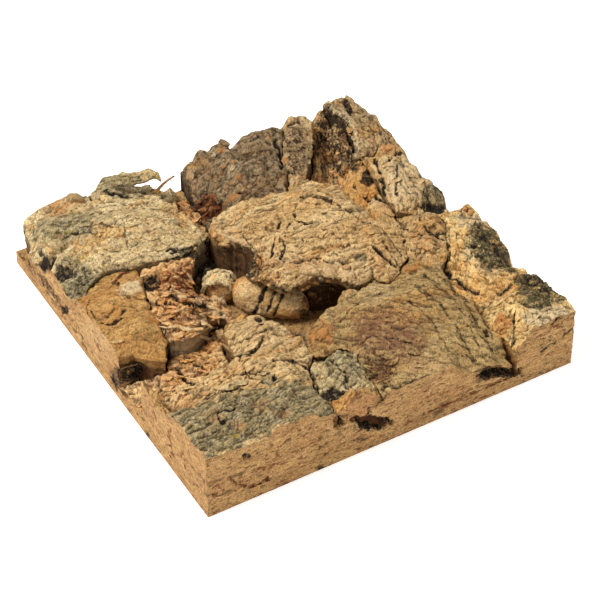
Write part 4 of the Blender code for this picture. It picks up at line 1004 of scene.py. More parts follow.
def bark_mesh(name, piece, seed):
    """Places, faces and paint of one piece of bark."""
    x, y = plan_grid(piece["outline"])
    frayed = fray(x, y)
    from_saw = HALF - np.maximum(np.abs(x), np.abs(y))
    distance = signed_distance(*frayed, piece["outline"]) + JOINT * ease(0, 4, from_saw)
    middle = (distance[:-1, :-1] + distance[1:, :-1] + distance[:-1, 1:] + distance[1:, 1:]) / 4
    keep = grown_from(whole_region(middle < 0), np.unravel_index(middle.argmin(), middle.shape))
    number = np.arange(x.size).reshape(x.shape)
    quads = np.stack([number[:-1, :-1], number[1:, :-1], number[1:, 1:], number[:-1, 1:]], axis=-1)[keep]
    start, end = rim_of(quads, x.size)

    # The rim is pulled onto the outline, and along the saw line where it lies on it
    slope = np.gradient(distance, PITCH)
    steep = np.hypot(*slope) + 1e-6
    shift = np.clip(distance, -1.3, 1.3) * (np.abs(distance) < 1.3) / steep
    on_rim = np.zeros(x.size, bool)
    on_rim[start] = True
    on_rim = on_rim.reshape(x.shape)
    side_x, side_y = sawn_sides(x, y)
    x = x - np.where(on_rim & (side_x == 0), shift * slope[0] / steep, 0)
    y = y - np.where(on_rim & (side_y == 0), shift * slope[1] / steep, 0)
    x, y = np.clip(x, -HALF, HALF), np.clip(y, -HALF, HALF)

    # The top: the solid's surface, its fine relief, and the marks pressed into it
    inside = np.maximum(-distance, 0)
    smooth = bark_height(x, y, piece, inside, seed)
    relief, crack = fine_relief(x, y, smooth, HABITS[name], piece["grain"], seed + 3)
    height = smooth + relief
    sink, masks = apply_marks(MARKS[name], np.stack([x.ravel(), y.ravel(), height.ravel()], axis=1))
    sink = sink.reshape(x.shape)
    hollow, crest = hollows_and_crests(relief - sink)
    height = np.maximum(height - sink - 1.2 * (1 - ease(0, 1.6, inside)), BOARD + 1.5)
    used = np.unique(quads)
    renumber = np.full(x.size, -1)
    renumber[used] = np.arange(len(used))
    top = np.stack([x.ravel(), y.ravel(), height.ravel()], axis=1)[used]
    quads, start, end = renumber[quads], renumber[start], renumber[end]

    # The wall: rows under the rim, drawn back from the joint or pitted into the saw cut
    sawn = (np.abs(top[start][:, :2]) > HALF - 0.01).any(axis=1)
    rows = SAWN_ROWS if sawn.any() else NATURAL_ROWS
    shares = wall_shares(rows)
    floor = BOARD + GLUE_LINE
    drop = (top[start, 2] - floor)[None, :] * shares[:, None]
    drop[0] = CRISP
    wall = np.repeat(top[start][None], rows, axis=0)
    wall[:, :, 2] -= drop
    normal = np.stack(slope, axis=-1).reshape(-1, 2)[used][start]
    normal /= np.linalg.norm(normal, axis=1)[:, None] + 1e-9
    side = np.stack(sawn_sides(top[start, 0], top[start, 1]), axis=1)
    places = wall.reshape(-1, 3)
    tiled_sawn = np.tile(sawn, rows)
    tiled_side = np.tile(side, (rows, 1))
    outward = np.where(tiled_sawn[:, None], tiled_side, np.tile(normal, (rows, 1)))
    depth = drop.ravel()
    layers = lumps_in_space(places[:, 0] / 2.5, places[:, 1] / 2.5, 1.5 * places[:, 2], 3.6, seed + 30)
    crumbs = lumps_in_space(*places.T, 2.1, seed + 31)
    natural_back = (1.5 + 1.4 * layers + 0.6 * crumbs) * ease(0, 3, depth)
    sawn_back, sawn_pits = saw_texture(places)
    marked, wall_masks = apply_marks(SAWN_MARKS, places)
    facing = (tiled_side.min(axis=1) < 0) & tiled_sawn
    sawn_back = (sawn_back + np.where(facing, marked, 0)) * ease(0, 1.2, depth)
    inward = np.where(tiled_sawn, sawn_back, natural_back)
    places[:, :2] -= inward[:, None] * outward
    before = places.copy()
    for owner, centre, radii, turn, way in HOLLOWS:
        if owner == name:
            places = push_back(places, centre, radii, turn, way)
    moved = ease(0.5, 2, np.linalg.norm(places - before, axis=1))
    torn = 1.3 * lumps_in_space(*places.T, 4.5, seed + 33) + 0.7 * lumps_in_space(*places.T, 2, seed + 34)
    places[:, :2] += (moved * torn)[:, None] * np.array(INTO_PICTURE)
    _, own_masks = apply_marks(MARKS[name], places)
    # walls pushed back into a hollow and deep marks in the saw cut are painted dark: painted shade
    cavity_shade = 0.9 * ease(1, 5, np.linalg.norm(places - before, axis=1) + np.where(facing, marked, 0))

    # Faces of the wall, and the paint masks of all points
    rim_number = np.full(len(top), -1)
    rim_number[start] = np.arange(len(start))
    a, b = rim_number[start], rim_number[end]
    bands = [np.stack([end, start, len(top) + a, len(top) + b], axis=1)]
    for row in range(rows - 1):
        upper, lower = len(top) + row * len(start), len(top) + (row + 1) * len(start)
        bands.append(np.stack([upper + b, upper + a, lower + a, lower + b], axis=1))
    faces = np.concatenate([quads, *bands])
    points = np.concatenate([top, places])
    on_wall = {key: np.where(facing, wall_masks[key], np.where(tiled_sawn, 0, own_masks[key]))
               for key in PAINTS}
    on_wall["dark"] = np.maximum(on_wall["dark"], cavity_shade)
    paint = {key: np.concatenate([masks[key][used], on_wall[key]]) for key in PAINTS}
    paint["crack"] = np.concatenate([crack.ravel()[used], np.where(tiled_sawn, sawn_pits, 0)])
    # painted shade in the hollows and painted highlight on the crests of the top; on natural walls both
    # masks follow the noise of layers and crumbs
    paint["hollow"] = np.concatenate([hollow.ravel()[used], np.where(tiled_sawn, 0, 0.5 - 0.5 * layers)])
    paint["crest"] = np.concatenate([crest.ravel()[used], np.where(tiled_sawn, 0, np.maximum(crumbs, 0))])
    paint["sawn"] = np.concatenate([np.zeros(len(top)), tiled_sawn.astype(float)])
    # painted shade on natural walls, deepening towards the board, except under pale and warm paint
    painted_wall_shade = np.where(tiled_sawn, 0, ease(0, 14, depth)) * (1 - np.maximum(on_wall["pale"], on_wall["warm"]))
    paint["wall"] = np.concatenate([np.zeros(len(top)), painted_wall_shade])
    return points, faces, paint


def closed_object(name, points, faces, paint, sharp=50):
    """A mesh object from places in millimetres. The open bottom is filled, and the paint goes into one
    attribute for each mask."""
    mesh = bpy.data.meshes.new(name)
    mesh.from_pydata(points * MM, [], faces)
    for key, values in paint.items():
        mesh.attributes.new(key, "FLOAT", "POINT").data.foreach_set("value", values.astype(np.float32))
    built = bmesh.new()
    built.from_mesh(mesh)
    open_edges = [edge for edge in built.edges if edge.is_boundary]
    bmesh.ops.holes_fill(built, edges=open_edges, sides=0)
    bmesh.ops.recalc_face_normals(built, faces=built.faces)
    built.to_mesh(mesh)
    built.free()
    mesh.shade_smooth()
    mesh.set_sharp_from_angle(angle=math.radians(sharp))
    made = bpy.data.objects.new(name, mesh)
    bpy.context.scene.collection.objects.link(made)
    return made

# %% [markdown]
# Materials. Cork is brown all through, but never one brown. Three tones in patches, streaks along
# the grain and fine grit make the ground; the paint masks then lay lichen, moss, rust and shadow on
# it. What several finishes share is a node group: tones, lichen, marks and the saw cut.

# %% Node helpers
def linear(red, green, blue):
    """A colour as a screen shows it, 0 to 255, as the linear numbers that shaders use."""
    return tuple((c / 255 / 12.92 if c <= 10 else ((c / 255 + 0.055) / 1.055) ** 2.4)
                 for c in (red, green, blue)) + (1.0,)


class Wiring:
    """Short names for adding nodes to one tree and joining them."""

    def __init__(self, tree):
        self.tree = tree

    def node(self, kind, **settings):
        made = self.tree.nodes.new(kind)
        for key, value in settings.items():
            setattr(made, key, value)
        return made

    def put(self, socket, value):
        if isinstance(value, bpy.types.NodeSocket):
            self.tree.links.new(value, socket)
        else:
            socket.default_value = value

    def math(self, operation, *values, clamp=False):
        made = self.node("ShaderNodeMath", operation=operation, use_clamp=clamp)
        for socket, value in zip(made.inputs, values):
            self.put(socket, value)
        return made.outputs[0]

    def times(self, *values):
        return self.math("MULTIPLY", *values)

    def plus(self, *values):
        return self.math("ADD", *values)

    def less(self, *values):
        return self.math("SUBTRACT", *values)

    def lay(self, colour, paint, mask, low, high, share):
        """Lays a paint over a colour, up to a share, where a mask goes from low to high."""
        return self.mix(self.times(self.between(mask, low, high), share), colour, paint)

    def noise(self, where, scale, detail=3.0, rough=0.6, distortion=0.0):
        made = self.node("ShaderNodeTexNoise")
        self.put(made.inputs["Vector"], where)
        settings = {"Scale": scale, "Detail": detail, "Roughness": rough, "Distortion": distortion}
        for key, value in settings.items():
            self.put(made.inputs[key], value)
        return made.outputs["Fac"]

    def cells(self, where, scale):
        """Distance to the nearest of scattered points: light grains with dark joints, turned over."""
        made = self.node("ShaderNodeTexVoronoi")
        self.put(made.inputs["Vector"], where)
        made.inputs["Scale"].default_value = scale
        return self.math("SUBTRACT", 1.0, made.outputs["Distance"])

    def grey(self, value):
        made = self.node("ShaderNodeCombineColor")
        for socket in made.inputs:
            self.put(socket, value)
        return made.outputs[0]

    def between(self, value, low, high):
        """0 at low, 1 at high, smooth between."""
        made = self.node("ShaderNodeMapRange", interpolation_type="SMOOTHSTEP")
        for key, entry in {"Value": value, "From Min": low, "From Max": high}.items():
            self.put(made.inputs[key], entry)
        return made.outputs["Result"]

    def mix(self, share, first, second, blend="MIX"):
        made = self.node("ShaderNodeMix", data_type="RGBA", blend_type=blend)
        self.put(made.inputs["Factor"], share)
        self.put(made.inputs[6], first)
        self.put(made.inputs[7], second)
        return made.outputs[2]

    def attribute(self, name):
        return self.node("ShaderNodeAttribute", attribute_name=name).outputs["Fac"]

    def places(self, turn=0.0, stretch=1.0):
        """Object coordinates turned so that the grain runs along X, and shrunk along it."""
        made = self.node("ShaderNodeMapping")
        self.put(made.inputs["Vector"], self.node("ShaderNodeTexCoord").outputs["Object"])
        made.inputs["Rotation"].default_value = (0, 0, -math.radians(turn))
        made.inputs["Scale"].default_value = (1 / stretch, 1, 1)
        return made.outputs["Vector"]


def new_group(name, inputs, outputs):
    """An empty node group with named sockets, its inner wiring, and its input and output nodes."""
    tree = bpy.data.node_groups.new(name, "ShaderNodeTree")
    for key, kind in inputs.items():
        tree.interface.new_socket(key, in_out="INPUT", socket_type=kind)
    for key, kind in outputs.items():
        tree.interface.new_socket(key, in_out="OUTPUT", socket_type=kind)
    wires = Wiring(tree)
    return tree, wires, wires.node("NodeGroupInput").outputs, wires.node("NodeGroupOutput").inputs


COLOUR, VALUE, VECTOR = "NodeSocketColor", "NodeSocketFloat", "NodeSocketVector"

# %% [markdown]
# Four shared effects. Each reads noise at the object's own place, so the pattern needs no picture
# and no unwrapping, and each hands on a colour and mostly a height for the fine bumps.

# %% Shared effects
def cork_tones():
    """Three tones in patches of about 12 mm and streaks along the grain, then crumbs, specks and pores."""
    tree, wires, given, result = new_group(
        "cork_tones", {"Where": VECTOR, "Even": VECTOR, "Pale": COLOUR, "Base": COLOUR, "Deep": COLOUR,
                       "Speckle": VALUE},
        {"Color": COLOUR, "Height": VALUE})
    where, even = given["Where"], given["Even"]
    patches = wires.noise(where, 75, 5, 0.68, 0.5)
    tint = wires.noise(where, 42, 4, 0.7, 0.6)
    streaks = wires.noise(where, 380, 6, 0.72, 0.5)
    grit = wires.noise(even, 1300, 3, 0.75)
    crumbs = wires.cells(even, 780)
    colour = wires.mix(wires.between(patches, 0.40, 0.62), given["Base"], given["Pale"])
    tinted = wires.mix(1.0, colour, linear(250, 214, 160), blend="MULTIPLY")
    colour = wires.lay(colour, tinted, tint, 0.48, 0.62, 0.85)
    colour = wires.lay(colour, given["Deep"], streaks, 0.50, 0.66, 0.85)
    lighter = wires.mix(wires.between(streaks, 0.48, 0.34), colour, given["Pale"])
    colour = wires.mix(0.6, colour, lighter)
    pores = wires.between(wires.noise(even, 480, 4, 0.72, 0.4), 0.59, 0.65)
    colour = wires.mix(wires.times(pores, 0.6), colour, given["Deep"])
    black = wires.between(wires.noise(even, 700, 4, 0.7), 0.54, 0.66)
    black = wires.times(black, given["Speckle"])
    colour = wires.mix(black, colour, linear(46, 34, 22))
    white = wires.between(wires.noise(even, 900, 3, 0.6, 0.3), 0.58, 0.68)
    white = wires.times(white, wires.times(given["Speckle"], 0.8))
    colour = wires.mix(white, colour, linear(226, 206, 166))
    coarse = wires.noise(even, 620, 4, 0.75, 0.3)
    shade = wires.plus(wires.times(grit, 2.2), wires.times(crumbs, 0.5))
    shade = wires.plus(shade, wires.times(coarse, 2.0))
    toned = wires.node("ShaderNodeHueSaturation")
    wires.put(toned.inputs["Color"], colour)
    wires.put(toned.inputs["Value"], wires.math("MAXIMUM", wires.less(shade, 1.06), 0.3))
    wires.put(result["Color"], toned.outputs["Color"])
    height = wires.plus(wires.times(streaks, 1.2), wires.times(coarse, 1.2))
    height = wires.less(wires.plus(height, wires.times(grit, 0.4)), pores)
    wires.put(result["Height"], wires.plus(height, wires.times(crumbs, 0.35)))
    return tree


def lichen_crust():
    """Lichen: grey-green and olive grains with pale flecks and black dots between them."""
    tree, wires, given, result = new_group(
        "lichen_crust", {"Where": VECTOR, "Grey": COLOUR, "Olive": COLOUR},
        {"Color": COLOUR, "Height": VALUE})
    where = given["Where"]
    grains = wires.noise(where, 520, 5, 0.75)
    broad = wires.noise(where, 110, 3, 0.6)
    fine = wires.noise(where, 1000, 4, 0.75)
    colour = wires.mix(wires.between(broad, 0.44, 0.54), given["Grey"], given["Olive"])
    colour = wires.mix(wires.between(wires.noise(where, 150, 4, 0.65, 0.5), 0.56, 0.68), colour,
                       linear(112, 100, 70))
    colour = wires.mix(wires.between(wires.noise(where, 120, 4, 0.65, 0.5), 0.46, 0.36), colour,
                       linear(226, 206, 156))
    colour = wires.lay(colour, linear(206, 196, 158), fine, 0.54, 0.62, 0.75)
    colour = wires.lay(colour, linear(66, 58, 40), grains, 0.48, 0.38, 0.85)
    colour = wires.lay(colour, linear(40, 34, 24), fine, 0.44, 0.37, 0.85)
    wires.put(result["Color"], colour)
    wires.put(result["Height"], wires.plus(grains, fine))
    return tree


def sawn_cork():
    """The saw cut: granular light cork with short reddish pits along the growth lines."""
    tree, wires, given, result = new_group(
        "sawn_cork", {"Light": COLOUR, "Brown": COLOUR}, {"Color": COLOUR, "Height": VALUE})
    coords = wires.node("ShaderNodeTexCoord").outputs["Object"]
    flat = wires.node("ShaderNodeMapping")
    wires.put(flat.inputs["Vector"], coords)
    flat.inputs["Scale"].default_value = (0.42, 0.42, 1)
    flat.inputs["Rotation"].default_value = (0.05, -0.08, 0)
    along = flat.outputs["Vector"]
    pits = wires.noise(along, 520, 3, 0.65, 0.3)
    grit = wires.noise(coords, 1100, 4, 0.8)
    crumbs = wires.cells(coords, 700)
    broad = wires.noise(along, 90, 4, 0.6)
    colour = wires.mix(wires.between(broad, 0.35, 0.65), given["Light"], given["Brown"])
    colour = wires.lay(colour, linear(226, 188, 136), grit, 0.52, 0.66, 0.5)
    streaks = wires.noise(along, 230, 4, 0.7, 0.4)
    colour = wires.lay(colour, linear(150, 100, 58), streaks, 0.55, 0.68, 0.5)
    colour = wires.lay(colour, linear(128, 76, 40), pits, 0.55, 0.64, 0.8)
    coarse = wires.noise(along, 420, 4, 0.75, 0.3)
    shade = wires.plus(wires.times(grit, 2.2), wires.times(crumbs, 0.5))
    shade = wires.plus(shade, wires.times(coarse, 1.4))
    toned = wires.node("ShaderNodeHueSaturation")
    wires.put(toned.inputs["Color"], colour)
    wires.put(toned.inputs["Value"], wires.less(shade, 1.04))
    wires.put(result["Color"], toned.outputs["Color"])
    depth = wires.less(wires.plus(grit, wires.times(crumbs, 0.5)), wires.between(pits, 0.56, 0.70))
    wires.put(result["Height"], depth)
    return tree


def painted_marks():
    """Lays the painted masks over a colour, each with a rim that is grainy like the bark itself. The
    last one laid, dark, wins over the others: painted shade in holes, cavities and under edges, and dark
    bark elsewhere."""
    colours = {"Pale": "pale", "Warm": "warm", "Rust": "rust", "Purple": "purple", "Moss": "moss",
               "Yellow": "yellow", "Dark": "dark"}
    tree, wires, given, result = new_group(
        "painted_marks", {"Color": COLOUR, "Where": VECTOR, **{key: COLOUR for key in colours}},
        {"Color": COLOUR})
    grain = wires.noise(given["Where"], 620, 5, 0.75)
    patchy = wires.noise(given["Where"], 190, 4, 0.65, 0.5)
    loose = wires.plus(wires.times(wires.less(grain, 0.5), 2.4), wires.times(wires.less(patchy, 0.5), 1.8))
    shade = wires.plus(wires.times(wires.noise(given["Where"], 1100, 3, 0.7), 1.2), 0.4)
    colour = given["Color"]
    for key, mask in colours.items():
        amount = wires.attribute(mask)
        here = wires.plus(amount, wires.times(loose, wires.between(amount, 0.0, 0.3)))
        grainy = wires.mix(1.0, given[key], wires.grey(shade), blend="MULTIPLY")
        colour = wires.mix(wires.between(here, 0.1, 0.95), colour, grainy)
    wires.put(result["Color"], colour)
    return tree


TONES, LICHEN, SAWN, PAINTED = cork_tones(), lichen_crust(), sawn_cork(), painted_marks()
print("node groups:", [tree.name for tree in bpy.data.node_groups])

# %% [markdown]
# One finish is those groups joined in a material, with the colours of one kind of bark. Cracks darken,
# as their own dark and as painted shade; hollows and natural walls get painted shade, crests a painted
# highlight, and the saw cut shows clean cork again.

# %% Finishes
def place_group(wires, tree, **values):
    made = wires.node("ShaderNodeGroup", node_tree=tree)
    for key, value in values.items():
        wires.put(made.inputs[key], value)
    return made.outputs


def bark_finish(name, pale, base, deep, grain=0, stretch=2.5, lichen=0.0, speckle=0.25,
                crevice=(44, 28, 17), rough=0.92, grey=(176, 156, 114), olive=(150, 130, 82),
                sawn=(208, 162, 102), brown=(188, 140, 84), relief=1.0):
    """A material for one kind of bark. Colours are as a screen shows them; lichen is how much of the
    crust it covers without any paint."""
    finish = bpy.data.materials.new(name)
    finish.use_nodes = True
    wires = Wiring(finish.node_tree)
    shader = finish.node_tree.nodes["Principled BSDF"]
    where = wires.places(grain, stretch)
    even = wires.places()
    tones = place_group(wires, TONES, Where=where, Even=even, Pale=linear(*pale), Base=linear(*base),
                        Deep=linear(*deep), Speckle=speckle)
    crust = place_group(wires, LICHEN, Where=even, Grey=linear(*grey), Olive=linear(*olive))
    cut = place_group(wires, SAWN, Light=linear(*sawn), Brown=linear(*brown))
    spread = wires.noise(even, 300, 5, 0.7)
    amount = wires.plus(wires.attribute("lichen"), lichen)
    crusted = wires.between(wires.plus(amount, wires.less(spread, 0.5)), 0.2, 0.65)
    colour = wires.mix(crusted, tones["Color"], crust["Color"])
    # painted highlight: crests lighten towards the pale colour
    crest = wires.times(wires.attribute("crest"), 0.55)
    colour = wires.mix(crest, colour, linear(*pale))
    colour = place_group(
        wires, PAINTED, Color=colour, Where=even, Dark=linear(36, 27, 18), Pale=linear(250, 220, 168),
        Warm=linear(214, 142, 76), Rust=linear(152, 82, 40), Purple=linear(150, 104, 72),
        Moss=linear(92, 84, 56), Yellow=linear(186, 166, 44))["Color"]
    # painted shade: natural walls darken towards the deep colour lower down
    wall = wires.times(wires.attribute("wall"), 0.8)
    colour = wires.mix(wall, colour, linear(*deep))
    # painted shade: hollows darken towards the crevice colour
    colour = wires.mix(wires.times(wires.attribute("hollow"), 0.72), colour, linear(*crevice))
    on_cut = wires.attribute("sawn")
    # on the saw cut dark is nearly black: painted shade inside the holes
    painted_cut = place_group(
        wires, PAINTED, Color=cut["Color"], Where=even, Dark=linear(26, 17, 11), Pale=linear(232, 196, 144),
        Warm=linear(200, 134, 78), Rust=linear(136, 76, 42), Purple=linear(140, 112, 84),
        Moss=linear(104, 88, 60), Yellow=linear(186, 166, 44))["Color"]
    colour = wires.mix(on_cut, colour, painted_cut)
    # cracks and pits darken towards the crevice colour: their own dark and painted shade in them
    crack = wires.times(wires.attribute("crack"), 0.8)
    colour = wires.mix(crack, colour, linear(*crevice))
    wires.put(shader.inputs["Base Color"], colour)
    wires.put(shader.inputs["Roughness"], wires.plus(wires.times(spread, 0.12), rough - 0.06))
    shader.inputs["Specular IOR Level"].default_value = 0.25
    height = wires.node("ShaderNodeMix", data_type="FLOAT")
    wires.put(height.inputs["Factor"], on_cut)
    wires.put(height.inputs[2], tones["Height"])
    wires.put(height.inputs[3], cut["Height"])
    bump = wires.node("ShaderNodeBump")
    bump.inputs["Strength"].default_value = relief
    bump.inputs["Distance"].default_value = 0.002
    wires.put(bump.inputs["Height"], height.outputs[0])
    wires.put(shader.inputs["Normal"], bump.outputs["Normal"])
    return finish


def palette(*colours, **more):
    """The pale, base and deep colours of one bark, and whatever else sets it apart."""
    return colours, more


LOOKS = {
    "pressed_cork": palette((200, 156, 106), (188, 142, 92), (140, 92, 54),
        sawn=(204, 158, 98), brown=(182, 136, 82)),
    "lichen_bark": palette((240, 212, 158), (212, 182, 126), (112, 86, 52), -10, 2, 0.18, 0.9,
        grey=(190, 172, 130), olive=(160, 140, 86)),
    "twig_wood": palette((176, 140, 92), (142, 106, 66), (92, 64, 40), 0, 4),
    "rust_cork": palette((255, 214, 150), (250, 182, 110), (146, 82, 40), -15, 2, 0, 0.35),
    "dark_bark": palette((180, 152, 112), (142, 118, 86), (66, 50, 34), 20, 2, 0.08, 0.7,
        grey=(138, 128, 106), olive=(124, 108, 80)),
    "weathered_bark": palette((222, 188, 136), (186, 154, 106), (100, 76, 50), 60, 2.5, 0.12, 0.6),
    "tan_cork": palette((238, 202, 143), (212, 170, 109), (134, 92, 52), -12, 5, 0, 0.4),
    "orange_cork": palette((232, 184, 116), (210, 154, 84), (144, 88, 46), -50, 3.5, 0, 0.3),
    "mossy_bark": palette((255, 218, 148), (242, 184, 104), (172, 110, 54), -50, 3.5, 0, 0.35),
    "olive_cork": palette((206, 172, 112), (178, 142, 88), (108, 82, 50), -60, 6, 0, 0.4),
    "amber_cork": palette((208, 162, 96), (188, 138, 76), (136, 86, 44), -35, 2, 0, 0.25),
    "striped_bark": palette((230, 192, 134), (204, 160, 100), (128, 88, 50), -34, 3, 0, 0.3),
}
FINISHES = {name: bark_finish(name, *colours, **more) for name, (colours, more) in LOOKS.items()}
SLOTS = {
    "lichen_bark": ["grey_plate", "curled_peel", "grey_knob"],
    "rust_cork": ["low_back_piece", "hollow_trough", "rust_chunk", "left_hollow_piece"],
    "dark_bark": ["dark_back_chunk", "inner_floor_piece", "inner_front_piece"],
    "weathered_bark": ["upright_flake", "back_corner_chunk"],
    "tan_cork": ["right_back_chunk", "lower_wedge_flake", "centre_chunk", "round_chunk", "front_left_chunk"],
    "orange_cork": ["upper_wedge_flake", "front_wedge", "left_edge_piece"],
    "mossy_bark": ["mossy_chunk", "right_front_chunk"],
    "olive_cork": ["big_brown_chunk"],
    "amber_cork": ["amber_plate"],
}
SLOT_OF = {piece: slot for slot, pieces in SLOTS.items() for piece in pieces}


def settle(made, node, slot):
    """Gives a piece its finish, hangs it on the root, and hides the solid of the node it replaces."""
    made.data.materials.append(FINISHES[slot])
    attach(made, "root")
    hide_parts(node)

# %% [markdown]
# Bark doesn't only crack, it flakes: thin sheets lift off, curl and stay hanging by one side, and
# crumbs lie in the hollows. A height over a plan can't overhang, so flakes are pieces of their own:
# flattened, ragged and curled, each seated on the bark at a pixel of the photograph.

# %% Flakes
def flake(at, length, width, turn=0.0, lift=6.0, curl=0.6, thick=1.5, **paint):
    """A flake at a pixel: sizes in millimetres, turned clockwise in the picture by degrees, its near
    side lifted by degrees, its ends curled up by millimetres."""
    return dict(at=at, length=length, width=width, turn=turn, lift=lift, curl=curl, thick=thick,
                paint=paint)


def strewn(count, middle, radii, seed, length=(4, 9), width=(2.2, 4.2), turn=(-20, 20), lift=(4, 16),
           thick=(0.9, 1.6), paints=({},)):
    """Many small flakes scattered evenly over an ellipse of the picture, their sizes drawn between two
    bounds."""
    chance = np.random.RandomState(seed)
    made = []
    for number in range(count):
        reach, angle = math.sqrt((number + 0.5) / count), 2.4 * number
        at = (middle[0] + reach * radii[0] * math.cos(angle) + chance.uniform(-2, 2),
              middle[1] + reach * radii[1] * math.sin(angle) + chance.uniform(-2, 2))
        size = chance.uniform(*length)
        made.append(flake(at, size, chance.uniform(*width), chance.uniform(*turn), chance.uniform(*lift),
                          size * chance.uniform(-0.06, 0.12), chance.uniform(*thick),
                          **paints[chance.randint(len(paints))]))
    return made


RUST_PAINTS = (dict(rust=0.65), dict(rust=0.45, warm=0.3), dict(warm=0.6), dict(purple=0.4, rust=0.3),
               dict(rust=0.3, pale=0.3), dict(rust=0.6, dark=0.15))
TORN_PAINTS = (dict(pale=0.7), dict(warm=0.4), dict(rust=0.5), dict(purple=0.25), dict(pale=0.4), {}, {})
CRUMB_PAINTS = (dict(lichen=0.5), dict(lichen=0.4), dict(pale=0.4), dict(rust=0.4), dict(warm=0.4), {})
SCALE_PAINTS = (dict(pale=0.3), dict(warm=0.25), dict(dark=0.15), {}, {})
TINY = dict(length=(2.2, 4.4), width=(1.8, 3.4), turn=(-90, 90), lift=(0, 10), thick=(1.0, 1.9))
SCALES = dict(length=(5, 11), width=(2.4, 5.5), lift=(3, 9), thick=(0.7, 1.1))
print(len(RUST_PAINTS), "paints for crumbling flakes")

# %% [markdown]
# The flakes of the left side come first: it is the most torn.

# %% Flakes of the left side
FLAKES = {
    "rust_chunk": strewn(26, (190, 318), (36, 18), 1, length=(6, 14), width=(1.8, 3.6), turn=(-25, 30),
            lift=(8, 30), paints=TORN_PAINTS)
        + strewn(26, (181, 284), (32, 17), 3, length=(4, 9), width=(2, 4), turn=(-40, 40), lift=(8, 30),
            paints=RUST_PAINTS) + [
        flake((180, 297), 8, 3.2, 15, 18, 1.2, pale=0.6),
        flake((198, 303), 7.5, 3.4, -12, 20, 1.4, pale=0.6),
        flake((223, 301), 7, 3.2, 10, 16, 1, pale=0.6),
        flake((213, 314), 9, 7, 20, 26, -3, 1.8, pale=0.5),
        flake((148, 325), 13, 8, 8, 8, 0.5, 1.8, pale=0.5, warm=0.2),
        flake((204, 338), 13, 3.2, -6, 18, 1, pale=0.6), flake((168, 287), 6, 4, -30, 14, 1.2, rust=0.7),
        flake((190, 284), 7, 3.4, 25, 16, 1, rust=0.5), flake((172, 310), 8, 3.8, 12, 18, 1, warm=0.4),
        flake((188, 322), 9, 4.2, -10, 14, 1.2, purple=0.6),
        flake((205, 322), 6, 4, 40, 16, 1.2, pale=0.4), flake((160, 301), 6, 3, -25, 16, 1, warm=0.5),
        flake((183, 273), 7, 3, -18, 14, 0.8, warm=0.5), flake((176, 334), 8, 3.6, 14, 20, 1, pale=0.4),
        flake((152, 312), 6, 3.4, -20, 14, 0.8, pale=0.3), flake((212, 291), 6, 3, 30, 14, 0.8, warm=0.5),
        flake((228, 309), 5, 3.6, 0, 14, 0.8, warm=0.4), flake((164, 292), 5, 2.4, 10, 22, 0.8, pale=0.4)],
    "left_hollow_piece": strewn(26, (170, 366), (38, 24), 2, length=(6, 13), width=(1.8, 3.6),
            turn=(-25, 30), lift=(8, 30), paints=TORN_PAINTS) + [
        flake((150, 379), 12, 4.6, 6, 14, 0.8, 2, pale=0.5, warm=0.3),
        flake((172, 371), 7, 6, 10, 12, -1.5, 2.4, pale=0.3),
        flake((185, 352), 9, 3.8, 20, 20, 1.2, pale=0.3),
        flake((144, 350), 13, 4, 4, 22, 1, pale=0.4, warm=0.3),
        flake((205, 360), 6, 4, 30, 18, 1, pale=0.4), flake((192, 374), 6, 3.2, -30, 20, 1, purple=0.4),
        flake((166, 388), 8, 4, 0, 14, 1, warm=0.4), flake((182, 392), 6, 3.4, 30, 16, 1, pale=0.3)],
    "front_left_chunk": strewn(22, (232, 374), (46, 26), 3, turn=(-40, 10), paints=SCALE_PAINTS, **SCALES)
        + strewn(20, (244, 418), (58, 18), 4, paints=CRUMB_PAINTS, **TINY) + [
        flake((188, 401), 7, 4.6, 15, 14, 1, pale=0.3), flake((222, 386), 9, 4.6, -14, 14, 1, pale=0.4),
        flake((205, 392), 7, 4, 20, 16, 1.2, warm=0.3), flake((262, 372), 7, 4, -10, 14, 0.8, pale=0.3),
        flake((236, 367), 9, 4.6, -20, 12, 0.8), flake((250, 346), 10, 5.2, -35, 8, pale=0.3),
        flake((286, 368), 8, 5, 30, 8, -0.8, pale=0.3), flake((233, 335), 8, 5, -40, 8, warm=0.2),
        flake((246, 385), 7, 3.4, -20, 18, 1, warm=0.3), flake((214, 376), 6, 3.6, 10, 16, 1, pale=0.3)],
}
print(sum(len(shapes) for shapes in FLAKES.values()), "flakes so far")

# %% [markdown]
# Flakes of the middle and the back: small scales on firm cork, crumbs in the hollows.

